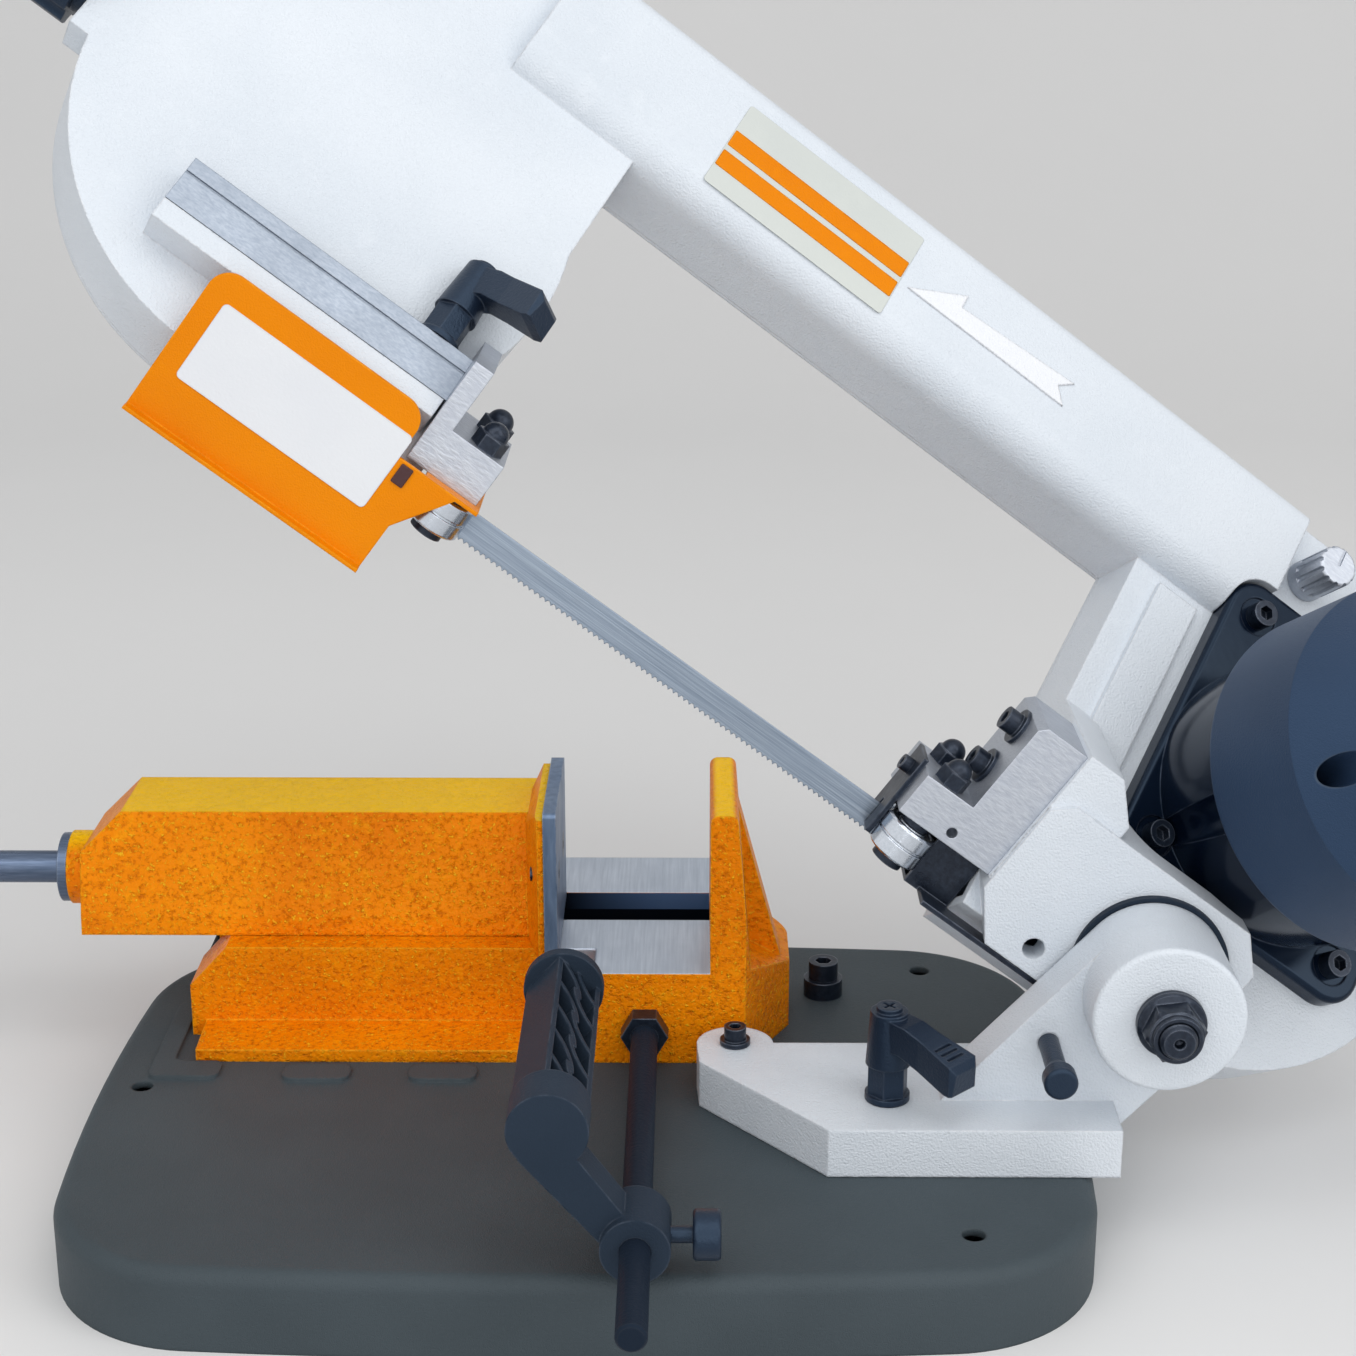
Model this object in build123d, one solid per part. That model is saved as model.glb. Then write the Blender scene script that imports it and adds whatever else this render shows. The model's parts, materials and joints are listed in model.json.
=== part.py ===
"""Bench-top metal cutting band saw: swivelling, hinged bow over a cast vise.

Lengths are in millimetres and +Z is up. Pieces are drawn in one of three frames:
the saw frame (swivel axis at x = y = 0, top of the base pan at z = 0),
the guide frame (along the blade, across it, square to it) and
the wheel frame (the guide frame leaned back to the plane of the band wheels).
"""
import os
from math import cos, pi, radians, sin

from build123d import *

# Place of the swivel axis on the bench, and the running gaps
PIVOT_X = 35.95
PIVOT_Y = 21.88
RUN_FIT = 0.05
SLIDE_GAP = 0.3
FACE_GAP = 0.5

# Blade loop and wheels
BLADE_LOOP = 1435.0
BLADE_WIDE = 12.7
BLADE_THICK = 0.65
TOOTH_PITCH = 2.54
TOOTH_DEEP = 1.2
WHEEL_R = 84.0
RIM_GAP = 0.3
RIM_WIDE = 15.5
RIM_DEEP = 6.0
FLANGE_HIGH = 1.8
FLANGE_WIDE = 1.8
WEB_THICK = 4.0
HUB_R = 17.0
AXLE_R = 8.0

# Bow: raised angle, lean of the wheel plane, casting sizes
RAISED = 36.9
LEAN = 40.0
BLADE_DROP = 21.3
DRIVE_BEYOND = 18.6
HEAD_GAP = 14.0
WALL = 4.0
LEFT_FRONT = 17.0
RIGHT_FRONT = 13.0
BACK_N = -18.0
BEAM_UNDER = 6.25
BEAM_TALL = 64.0
BEAM_FRONT = 25.0
BEAM_ROUND = 15.0
BEAM_STOP = 33.6
LEG_TRIM = 6.4
RIGHT_REACH = 86.0
CORNER_R = 70.0
COVER_THICK = 2.0
ARROW_LONG = 82.0
ARROW_HIGH = 0.8

# Hinge and swivel arm
HINGE_X = 160.0
HINGE_Z = 65.0
BARREL_R = 29.0
BARREL_FRONT = -71.0
BARREL_BACK = -27.3
LUG_FRONT = -24.7
LUG_LOW = -30.0
PIN_R = 8.0
BUSH_R = 11.0
BUSH_LONG = 12.0
SEAL_R = 31.0
ARM_TOP = 20.0
ARM_END_R = 15.5
ARM_BACK = 1.0
ARM_FRONT = -72.0
ARM_REACH = 145.0
STRUT_ANGLE = 47.0
STRUT_FRONT = -48.0
STRUT_LIFT = 12.0
PIVOT_R = 2.8
LOCK_PIN_X = 119.0
LOCK_PIN_Z = 44.7
LOCK_PIN_R = 4.0
LOCK_HEAD_R = 6.4
LEVER_X = 58.0
LEVER_Y = -46.0
LEVER_FOOT_R = 8.7
LEVER_NECK = 15.0
LEVER_TALL = 37.0
LEVER_LONG = 38.0

# Base pan
BASE_HIGH = 32.0
SHEET = 3.0
BASE_LEFT = -251.0
BASE_RIGHT = 129.0
BASE_HALF = 136.0
BASE_BULGE = 9.0
BASE_CORNER = 62.0
BASE_EDGE = 6.0
BEAD_HIGH = 1.6
FOOT_HOLE_R = 4.4
HOLE_LEFT_X = -241.6
HOLE_RIGHT_X = 85.0
HOLE_HALF = 113.0

# Vise
TABLE_Z = 40.5
BED_FRONT = 22.0
BED_BACK = 148.0
BED_LEFT = -230.0
BED_STEP = -58.0
BED_WALL = 47.0
BED_RIGHT = 24.0
FIXED_FACE = -10.0
FIXED_BACK = 92.0
FIXED_TOP = 110.0
FIXED_THICK = 11.0
SCREW_Y = 92.0
SCREW_Z = 58.6
SCREW_R = 7.0
SLOT_HALF = 15.0
SLOT_DEEP = 20.5
JAW_OPEN = 63.0
PLATE_THICK = 5.5
HEAD_THICK = 9.0
JAW_HEAD_TOP = 104.0
PLATE_TOP = 107.0
PLATE_FRONT = 31.0
PLATE_END = 101.0
PLATE_SCREWS = (48.0, 81.0)
PLATE_SCREW_Z = 74.0
JAW_FLARE = 12.0
BOSS_OUT = 9.5
JAW_TOP = 92.5
JAW_HALF = 21.0
JAW_LONG = 199.0
TUNNEL_HIGH = 34.0
NUT_LONG = 18.0
COLLAR_R = 15.0
HANDWHEEL_R = 33.0
GRIP_R = 7.5
GRIP_IN = 8.0
GRIP_LONG = 42.0
WHEEL_OUT = 54.5

# Work stop
MITRE_X = 40.3
MITRE_Y = 89.4
MITRE_R = 8.5
ROD_X = -37.0
ROD_Z = 16.0
ROD_R = 5.5
ROD_END = -205.0
STOP_X = -67.0
STOP_Z = 60.0
STOP_FACE = -30.0
STOP_R = 15.5
STOP_LONG = 100.0
STOP_HALF = 10.5
STOP_TURN = 42.0
STOP_PITCH = 20.0
STOP_BEND = 30.0

# Blade guides
LEFT_GUIDE_OUT = 14.0
RIGHT_GUIDE_OUT = 33.0
BRACKET_THICK = 22.0
ROLLER_R = 11.0
ROLLER_HIGH = 14.0
ROLLER_PIN_R = 4.0
GUIDE_HALF = 20.0
GUIDE_UNDER = -8.0
GUIDE_FOOT = 18.0
RAIL_LOW = 21.0
RAIL_WIDE = 20.0
RAIL_THICK = 15.7
RAIL_LONG = 145.0
CLAMP_BACK = 37.0
GUARD_FRONT = -26.5
GUARD_THICK = 1.5
GUARD_LONG = 102.0
GUARD_TALL = 64.0
GUARD_LOW = -52.0
GUARD_LIP = 5.0

# Motor
MOTOR_ALONG = 9.4
MOTOR_UP = 16.4
HOUSING_R = 60.0
HOUSING_FLANGE = 10.0
HOUSING_END = 70.0
COVER_R = 68.0
COVER_END = 148.0
HOUSING_BOLT_R = 3.5
BOLT_HALF_U = 47.0
BOLT_HALF_V = 57.0
KNOB_BACK = 18.6
KNOB_DOWN = 22.0
KNOB_R = 9.0

# Feed handle, trigger and blade tension
HANDLE_THICK = 24.0
HANDLE_LOW = 112.0
HANDLE_TALL = 105.0
HANDLE_REACH = 64.0
TRIGGER_HALF = 6.0
CARRIAGE_THICK = 3.2
STUD_R = 4.0

# Worked-out places
HEAD_R = WHEEL_R + HEAD_GAP
WHEEL_V = WHEEL_R + RIM_GAP + BLADE_THICK / 2
BEAM_LOW = 2 * WHEEL_V - BEAM_UNDER
BEAM_TOP = BEAM_LOW + BEAM_TALL
DRIVE_U = DRIVE_BEYOND
TENSION_U = DRIVE_U - (BLADE_LOOP - 2 * pi * WHEEL_V) / 2
LEFT_WALL = TENSION_U + HEAD_R - 4.0
LEG_WALL = DRIVE_U - HEAD_R + LEG_TRIM
BEAM_END = DRIVE_U - BEAM_STOP
LEFT_GUIDE = LEFT_WALL + LEFT_GUIDE_OUT
RIGHT_GUIDE = LEG_WALL - RIGHT_GUIDE_OUT
RAIL_LEFT = LEFT_GUIDE - RAIL_LONG
CLAMP_U = LEFT_GUIDE - CLAMP_BACK
MOTOR_U = DRIVE_U + MOTOR_ALONG
MOTOR_V = WHEEL_V + MOTOR_UP
KNOB_U = DRIVE_U - KNOB_BACK
KNOB_V = BEAM_TOP - KNOB_DOWN
RIM_BACK = -7.0
RIM_FRONT = RIM_BACK + RIM_WIDE
TILT = radians(RAISED)
ALONG = Vector(cos(TILT), 0, -sin(TILT))
SQUARE = Vector(sin(TILT), 0, cos(TILT))
LEAN_RAD = radians(LEAN)
FACING = SQUARE * sin(LEAN_RAD) - Vector(0, 1, 0) * cos(LEAN_RAD)
HINGE = Vector(HINGE_X, 0, HINGE_Z)
GUIDE = Plane(origin=HINGE, x_dir=ALONG, z_dir=SQUARE).location
BOW = Plane(origin=HINGE - SQUARE * BLADE_DROP, x_dir=ALONG, z_dir=FACING).location
GUIDE_IN_BOW = BOW.inverse() * GUIDE
ROLLER_Y = BLADE_THICK / 2 + SLIDE_GAP + ROLLER_R
ROLLER_TOP = GUIDE_UNDER - GUARD_THICK - 2.0
RAIL_BACK = LEFT_FRONT + SLIDE_GAP
RAIL_MID = RAIL_BACK + RAIL_THICK / 2
MOVING_FACE = FIXED_FACE - JAW_OPEN
PLATE_BACK = MOVING_FACE - PLATE_THICK
JAW_BACK = PLATE_BACK - HEAD_THICK
JAW_LEFT = JAW_BACK - JAW_LONG + HEAD_THICK
JAW_UNDER = TABLE_Z + SLIDE_GAP
COLLAR_FACE = JAW_LEFT - BOSS_OUT - SLIDE_GAP
WHEEL_FACE = COLLAR_FACE - WHEEL_OUT
FLANGE_N = RIGHT_FRONT + HOUSING_FLANGE


def box(x, y, z):
    """Block between three pairs of limits."""
    mid = Pos((x[0] + x[1]) / 2, (y[0] + y[1]) / 2, (z[0] + z[1]) / 2)
    return mid * Box(x[1] - x[0], y[1] - y[0], z[1] - z[0])


def rod(axis, span, r, a=0.0, b=0.0):
    """Round bar along an axis; a and b are its two other coordinates in x, y, z order."""
    mid = (span[0] + span[1]) / 2
    bar = Cylinder(r, span[1] - span[0])
    if axis == "x":
        return Pos(mid, a, b) * Rot(0, 90, 0) * bar
    if axis == "y":
        return Pos(a, mid, b) * Rot(90, 0, 0) * bar
    return Pos(a, b, mid) * bar


def grow(face, axis, span):
    """Thickness given to a flat outline, along z, along y (outline x, z) or along x (outline y, z)."""
    solid = extrude(face, amount=span[1] - span[0], dir=(0, 0, 1))
    if axis == "y":
        return Plane((0, span[1], 0), x_dir=(1, 0, 0), z_dir=(0, -1, 0)).location * solid
    if axis == "x":
        return Plane((span[0], 0, 0), x_dir=(0, 1, 0), z_dir=(1, 0, 0)).location * solid
    return Pos(0, 0, span[0]) * solid


def prism(points, axis, span):
    """Straight-sided piece from corner points."""
    return grow(make_face(Polyline(*points, close=True)), axis, span)


def rect(x, y):
    """Flat rectangle between two pairs of limits."""
    return Pos((x[0] + x[1]) / 2, (y[0] + y[1]) / 2) * Rectangle(x[1] - x[0], y[1] - y[0])


def hexagon(axis, span, flats, a=0.0, b=0.0):
    """Six-sided bar along an axis, named by its width across flats."""
    bar = extrude(RegularPolygon(flats / 3 ** 0.5, 6), amount=span[1] - span[0], dir=(0, 0, 1))
    if axis == "x":
        return Pos(span[0], a, b) * Rot(0, 90, 0) * bar
    if axis == "y":
        return Pos(a, span[1], b) * Rot(90, 0, 0) * bar
    return Pos(a, b, span[0]) * bar


def cap_screw(axis, seat, out, r, grip, a, b):
    """Socket screw: head on the out side of its seat, shank the other way."""
    tip = seat + out * 2 * r
    low, high = sorted((seat, tip))
    head = rod(axis, (low, high), 1.6 * r, a, b)
    end = tip - out * 1.2 * r
    key = hexagon(axis, sorted((end, tip + out)), 1.6 * r, a, b)
    shank = rod(axis, sorted((seat - out * grip, seat)), r, a, b)
    return head + shank - key


def ring(axis, span, r_out, r_in, a=0.0, b=0.0):
    """Plain collar."""
    return rod(axis, span, r_out, a, b) - rod(axis, (span[0] - 1, span[1] + 1), r_in, a, b)


def group(pieces):
    """Several separate solids kept as one named piece."""
    return Compound(children=[solid for piece in pieces for solid in piece.solids()])


def base_outline(inset):
    """Bulged rectangle with large round corners."""
    left, right, half = BASE_LEFT + inset, BASE_RIGHT - inset, BASE_HALF - inset
    mid = (left + right) / 2
    edges = [
        ThreePointArc((left, half), (mid, half + BASE_BULGE), (right, half)),
        ThreePointArc((right, half), (right + BASE_BULGE, 0), (right, -half)),
        ThreePointArc((right, -half), (mid, -half - BASE_BULGE), (left, -half)),
        ThreePointArc((left, -half), (left - BASE_BULGE, 0), (left, half)),
    ]
    face = make_face(edges)
    return fillet(face.vertices(), BASE_CORNER - inset)


def base_pan():
    pan = grow(base_outline(0.0), "z", (-BASE_HIGH, 0.0))
    pan = fillet(pan.faces().sort_by(Axis.Z)[-1].edges(), BASE_EDGE)
    pan -= grow(base_outline(SHEET), "z", (-BASE_HIGH - 1, -SHEET))
    corner = rect((BED_LEFT - 11, BED_LEFT - 2.5), (6.0, 76.0)) + rect((BED_LEFT - 11, BED_LEFT + 18),
                                                                       (6.0, 20.0))
    pan += grow(fillet(corner.vertices(), 4.0), "z", (-1.0, BEAD_HIGH))
    for x in (-172.0, -120.0):
        pan += grow(Pos(x, 11.0) * RectangleRounded(28.0, 14.0, 5.0), "z", (-1.0, BEAD_HIGH))
    for x, y in ((HOLE_LEFT_X, 0.0), (HOLE_RIGHT_X, HOLE_HALF), (HOLE_RIGHT_X, -HOLE_HALF)):
        pan -= rod("z", (-SHEET - 2, 3.0), FOOT_HOLE_R, x, y)
    pan -= rod("z", (-SHEET - 2, 3.0), PIVOT_R, 0.0, 0.0)
    return pan


def vise_bed():
    """Casting with the ground table, the fixed jaw and a long foot to the left."""
    left = box((BED_LEFT, BED_STEP), (BED_WALL, BED_BACK), (0.0, TABLE_Z))
    left -= prism(((BED_LEFT - 1, 22.0), (BED_LEFT + 17, TABLE_Z + 1), (BED_LEFT - 1, TABLE_Z + 1)),
                  "y", (BED_WALL - 1, BED_BACK + 1))
    foot = prism(((BED_FRONT, 0.0), (BED_FRONT, 5.4), (BED_WALL, 7.0), (BED_WALL, 0.0)),
                 "x", (BED_LEFT + 6, BED_STEP))
    top = FIXED_FACE + FIXED_THICK
    side = ((BED_STEP, 0.0), (BED_STEP, TABLE_Z), (top + 6, TABLE_Z), (BED_RIGHT, TABLE_Z - 10),
            (BED_RIGHT, 0.0))
    table = prism(side, "y", (BED_FRONT, BED_BACK))
    table -= box((top + 4, BED_RIGHT + 1), (FIXED_BACK + 4, BED_BACK + 1), (-1.0, TABLE_Z + 1))
    end = table.edges().filter_by(Axis.Z).sort_by_distance((BED_RIGHT, FIXED_BACK + 4, TABLE_Z / 2))[0]
    table = fillet(end, 10.0)
    wall = prism(((FIXED_FACE, TABLE_Z - 5), (FIXED_FACE, FIXED_TOP), (top, FIXED_TOP),
                  (top + 6, TABLE_Z - 5)),
                 "y", (BED_FRONT, FIXED_BACK))
    wall = fillet(wall.edges().filter_by(Axis.Y).group_by(Axis.Z)[-1], 3.5)
    rib = prism(((top - 2, TABLE_Z - 5), (top - 2, FIXED_TOP - 6), (top, FIXED_TOP - 6),
                 (BED_RIGHT - 4, TABLE_Z - 7)),
                "y", (FIXED_BACK - 36, FIXED_BACK - 22))
    bed = left + foot + table + wall + rib
    bed -= box((BED_LEFT - 1, FIXED_FACE), (SCREW_Y - SLOT_HALF, SCREW_Y + SLOT_HALF),
               (TABLE_Z - SLOT_DEEP, TABLE_Z + 1))
    bed -= prism(((4.0, BED_FRONT - 1), (BED_RIGHT + 1, BED_FRONT - 1), (BED_RIGHT + 1, BED_FRONT + 38)),
                 "z", (-1.0, FIXED_TOP + 1))
    bed -= rod("y", (BED_FRONT - 1, BED_FRONT + 20), ROD_R, ROD_X, ROD_Z)
    return bed


def vise_nut():
    x = JAW_BACK - 92.0
    low = TABLE_Z - SLOT_DEEP
    nut = box((x, x + NUT_LONG), (SCREW_Y - 11, SCREW_Y + 11), (low, SCREW_Z + 11))
    nut = fillet(nut.edges().filter_by(Axis.X).group_by(Axis.Z)[-1], 6.0)
    return nut - rod("x", (x - 1, x + NUT_LONG + 1), SCREW_R + RUN_FIT, SCREW_Y, SCREW_Z)


def mitre_stop():
    disc = rod("z", (0.0, MITRE_R - 0.5), MITRE_R, MITRE_X, MITRE_Y)
    notch = box((MITRE_X + 1.7, MITRE_X + 12), (MITRE_Y + 5.6, MITRE_Y + 11), (-1.0, MITRE_R + 1))
    return disc - notch - rod("z", (-1.0, MITRE_R + 1), 4.0, MITRE_X, MITRE_Y)


def mitre_stop_screw():
    return cap_screw("z", MITRE_R - 0.5, 1, 4.0, MITRE_R - 0.5, MITRE_X, MITRE_Y)


def stop_rod():
    bar = rod("y", (ROD_END, BED_FRONT + 20), ROD_R, ROD_X, ROD_Z)
    return chamfer(bar.edges().sort_by(Axis.Y)[0], 1.0)


def stop_rod_nut():
    nut = hexagon("y", (BED_FRONT - 9, BED_FRONT), 17.0, ROD_X, ROD_Z)
    return nut - rod("y", (BED_FRONT - 10, BED_FRONT + 1), ROD_R, ROD_X, ROD_Z)


def swivel_arm():
    """Foot on the pan, slanting strut and hinge barrel, cast in one."""
    low = SLIDE_GAP
    plan = ((-ARM_END_R, 0.0), (-14.5, -16.0), (16.0, -51.0), (34.0, ARM_FRONT), (ARM_REACH, ARM_FRONT),
            (ARM_REACH, ARM_BACK), (0.0, ARM_BACK))
    foot = prism(plan, "z", (low, ARM_TOP)) + rod("z", (low, ARM_TOP), ARM_END_R)
    a = radians(STRUT_ANGLE)
    run, side = Vector(cos(a), sin(a)), Vector(-sin(a), cos(a)) * BARREL_R
    mid = Vector(HINGE_X, HINGE_Z)
    up, down = mid + side, mid - side
    reach = (HINGE_Z - STRUT_LIFT) / sin(a)
    low_up, low_down = up - run * (reach + 20), down - run * (reach - 18)
    corners = [(p.X, p.Y) for p in (up, low_up, low_down, down)]
    strut = prism(corners, "y", (STRUT_FRONT, BARREL_BACK))
    strut &= box((0.0, 300.0), (-100.0, 100.0), (low, 300.0))
    barrel = rod("y", (BARREL_FRONT, BARREL_BACK), BARREL_R, HINGE_X, HINGE_Z)
    barrel = fillet(barrel.edges().sort_by(Axis.Y)[0], 2.0)
    arm = foot + strut + barrel
    arm -= rod("y", (BARREL_FRONT - 1, BARREL_BACK + 1), PIN_R + 1.0, HINGE_X, HINGE_Z)
    for front in (BARREL_FRONT, BARREL_BACK - BUSH_LONG):
        arm -= rod("y", (front - 0.01, front + BUSH_LONG + 0.01), BUSH_R, HINGE_X, HINGE_Z)
    arm -= rod("z", (-1.0, ARM_TOP + 1), PIVOT_R + RUN_FIT)
    arm -= rod("z", (3.0, ARM_TOP + 1), LOCK_PIN_R + RUN_FIT, LEVER_X, LEVER_Y)
    arm -= rod("y", (STRUT_FRONT - 1, BARREL_BACK + 1), LOCK_PIN_R + RUN_FIT, LOCK_PIN_X, LOCK_PIN_Z)
    return arm


def pivot_screw():
    """Pivot of the swivel: socket screw with a washer, held in the pan."""
    seat = ARM_TOP + SLIDE_GAP
    washer = rod("z", (seat, seat + 2.0), 2.2 * PIVOT_R)
    return washer + cap_screw("z", seat + 2.0, 1, PIVOT_R, seat + 2.0 + SHEET, 0.0, 0.0)


def hinge_bushes():
    spans = ((BARREL_FRONT, BARREL_FRONT + BUSH_LONG), (BARREL_BACK - BUSH_LONG, BARREL_BACK))
    return group([ring("y", s, BUSH_R, PIN_R + RUN_FIT, HINGE_X, HINGE_Z) for s in spans])


def clamp_lever():
    """Moulded clamp lever in its own frame: hub up +Z, arm along +X, cross-slotted screw on top."""
    foot = rod("z", (0.0, 2.5), LEVER_FOOT_R)
    neck = hexagon("z", (2.0, LEVER_NECK + 1), 1.6 * LEVER_FOOT_R)
    cone = Cone(LEVER_FOOT_R, LEVER_FOOT_R - 1.5, LEVER_TALL - LEVER_NECK)
    body = Pos(0, 0, (LEVER_NECK + LEVER_TALL) / 2) * cone
    tip, top, half = LEVER_LONG, LEVER_TALL - 1.0, LEVER_FOOT_R - 1.0
    side = ((0.0, top), (12.0, top - 1), (tip - 2, top - 8), (tip, top - 11), (tip - 1, top - 20),
            (tip - 5, top - 20), (9.0, top - 13), (0.0, top - 14))
    plan = ((0.0, 2 - half), (tip / 2, 2 - half), (tip - 2, -half), (tip, 2 - half), (tip, half - 2),
            (tip - 2, half), (tip / 2, half - 2), (0.0, half - 2))
    arm = prism(side, "y", (-2 * half, 2 * half)) & prism(plan, "z", (0.0, 2 * LEVER_TALL))
    for x in (tip - 6, tip - 9, tip - 12):
        arm -= box((x, x + 1.2), (3 - half, half - 3), (top - (x - 12) / 3.4 - 2.2, LEVER_TALL))
    screw = rod("z", (LEVER_TALL - 1, LEVER_TALL + 2), 5.0)
    for turn in (0, 90):
        screw -= Rot(0, 0, turn) * box((-3.0, 3.0), (-0.6, 0.6), (LEVER_TALL + 0.6, LEVER_TALL + 3))
    return foot + neck + body + arm + screw


def swivel_lock_lever():
    """Clamp lever of the swivel, with its stud down into the arm."""
    stud = rod("z", (4.0, ARM_TOP + 2), LOCK_PIN_R, LEVER_X, LEVER_Y)
    return stud + Pos(LEVER_X, LEVER_Y, ARM_TOP + SLIDE_GAP) * Rot(0, 0, -45) * clamp_lever()


def bow_lock_pin():
    """Pin pushed through the strut into the lug to hold the bow down; a knob on its front end."""
    pin = rod("y", (STRUT_FRONT - 24, BARREL_BACK - 0.5), LOCK_PIN_R, LOCK_PIN_X, LOCK_PIN_Z)
    flare = Pos(LOCK_PIN_X, STRUT_FRONT - 25, LOCK_PIN_Z) * Rot(90, 0, 0) * Cone(LOCK_PIN_R, LOCK_HEAD_R, 6)
    knob = rod("y", (STRUT_FRONT - 35, STRUT_FRONT - 28), LOCK_HEAD_R, LOCK_PIN_X, LOCK_PIN_Z)
    knob = fillet(knob.edges().sort_by(Axis.Y)[0], 1.5)
    return pin + flare + knob


def hinge_pin():
    """Pin pressed into the lug of the bow and turning in the barrel; told in the guide frame."""
    pin = rod("y", (BARREL_FRONT - 19, LUG_FRONT + 21), PIN_R)
    return GUIDE * chamfer(pin.edges().sort_by(Axis.Y)[0], 1.2)


def hinge_washer():
    return GUIDE * ring("y", (BARREL_FRONT - 2.3, BARREL_FRONT - SLIDE_GAP), 13.0, PIN_R)


def hinge_nut():
    seat = BARREL_FRONT - 2.3
    nut = hexagon("y", (seat - 12, seat), 24.0) + rod("y", (seat - 2.5, seat), 15.5)
    return GUIDE * (nut - rod("y", (seat - 13, seat + 1), PIN_R))


def hinge_seal():
    return GUIDE * ring("y", (BARREL_BACK + SLIDE_GAP, LUG_FRONT), SEAL_R, PIN_R)


def left_outline(inset):
    """Left wheel house: round below and outside, square to the beam."""
    r = HEAD_R - inset
    top, wall = BEAM_TOP - inset, LEFT_WALL - inset
    high = rect((TENSION_U - r, wall), (WHEEL_V, top))
    high = fillet(high.vertices().sort_by_distance((TENSION_U - r, top, 0))[0], CORNER_R - inset)
    return Pos(TENSION_U, WHEEL_V) * Circle(r) + rect((TENSION_U, wall), (WHEEL_V - r, top)) + high


def right_outline(inset):
    """Right wheel house: round about the drive wheel, with the leg on its left."""
    r = HEAD_R - inset
    top, wall, end = BEAM_TOP - inset, LEG_WALL + inset, DRIVE_U + RIGHT_REACH - inset
    high = rect((wall, end), (WHEEL_V, top))
    high = fillet(high.vertices().sort_by_distance((end, top, 0))[0], CORNER_R - inset)
    disc = (Pos(DRIVE_U, WHEEL_V) * Circle(r)) & rect((wall, DRIVE_U + r), (WHEEL_V - r, WHEEL_V + r))
    return disc + rect((wall, DRIVE_U), (WHEEL_V - r, top)) + high


def cover_spots():
    """Screw places of the rear cover and how far forward each boss reaches."""
    left, beam, right = LEFT_FRONT - WALL + 1, BEAM_FRONT - WALL - 5, RIGHT_FRONT - WALL + 1
    end = DRIVE_U + RIGHT_REACH - 11.0
    return ((TENSION_U - 62.0, BEAM_TOP - 15.0, left), (LEFT_WALL - 9.0, BEAM_TOP - 12.0, beam),
            (LEFT_WALL - 8.0, 36.0, left), (LEG_WALL + 9.0, BEAM_TOP - 12.0, beam),
            (LEG_WALL + 8.0, 30.0, right), (end, WHEEL_V + 66.0, right))


def housing_bolts_at():
    mid_v = MOTOR_V + 11.0
    mid_u = MOTOR_U + 2.0
    return [(mid_u + i * BOLT_HALF_U, mid_v + j * BOLT_HALF_V) for i in (-1, 1) for j in (-1, 1)]


def housing_face(gap):
    """Outline of the gear housing flange, let out by a gap."""
    wide, tall = 2 * (BOLT_HALF_U + 15 + gap), 2 * (BOLT_HALF_V + 15 + gap)
    return Pos(MOTOR_U + 2.0, MOTOR_V + 11.0) * RectangleRounded(wide, tall, 14.0 + gap)


def in_front(n):
    """Everything in front of a plane parallel to the wheels."""
    return box((-800.0, 400.0), (-300.0, 500.0), (n, 300.0))


def hinge_lug():
    """Upright lug and guide pad, trimmed flush with the inside of the right head."""
    left = LEG_WALL + FACE_GAP
    corners = ((left, -12.0), (left + 15, LUG_LOW), (28.0, LUG_LOW), (35.0, -22.0), (35.0, 22.0), (22.0, 35.0),
               (left + 8, 35.0), (left, 28.0))
    lug = prism(corners, "y", (LUG_FRONT, 42.0))
    pad = box((LEG_WALL, LEG_WALL + 30.0), (-GUIDE_HALF - 2.5, 52.0), (GUIDE_UNDER, 54.0))
    pad = chamfer(pad.edges().filter_by(Axis.Y).sort_by_distance((LEG_WALL + 30.0, 0.0, 54.0))[0], 14.0)
    return (GUIDE_IN_BOW * (lug + pad)) & in_front(RIGHT_FRONT - WALL)


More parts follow.
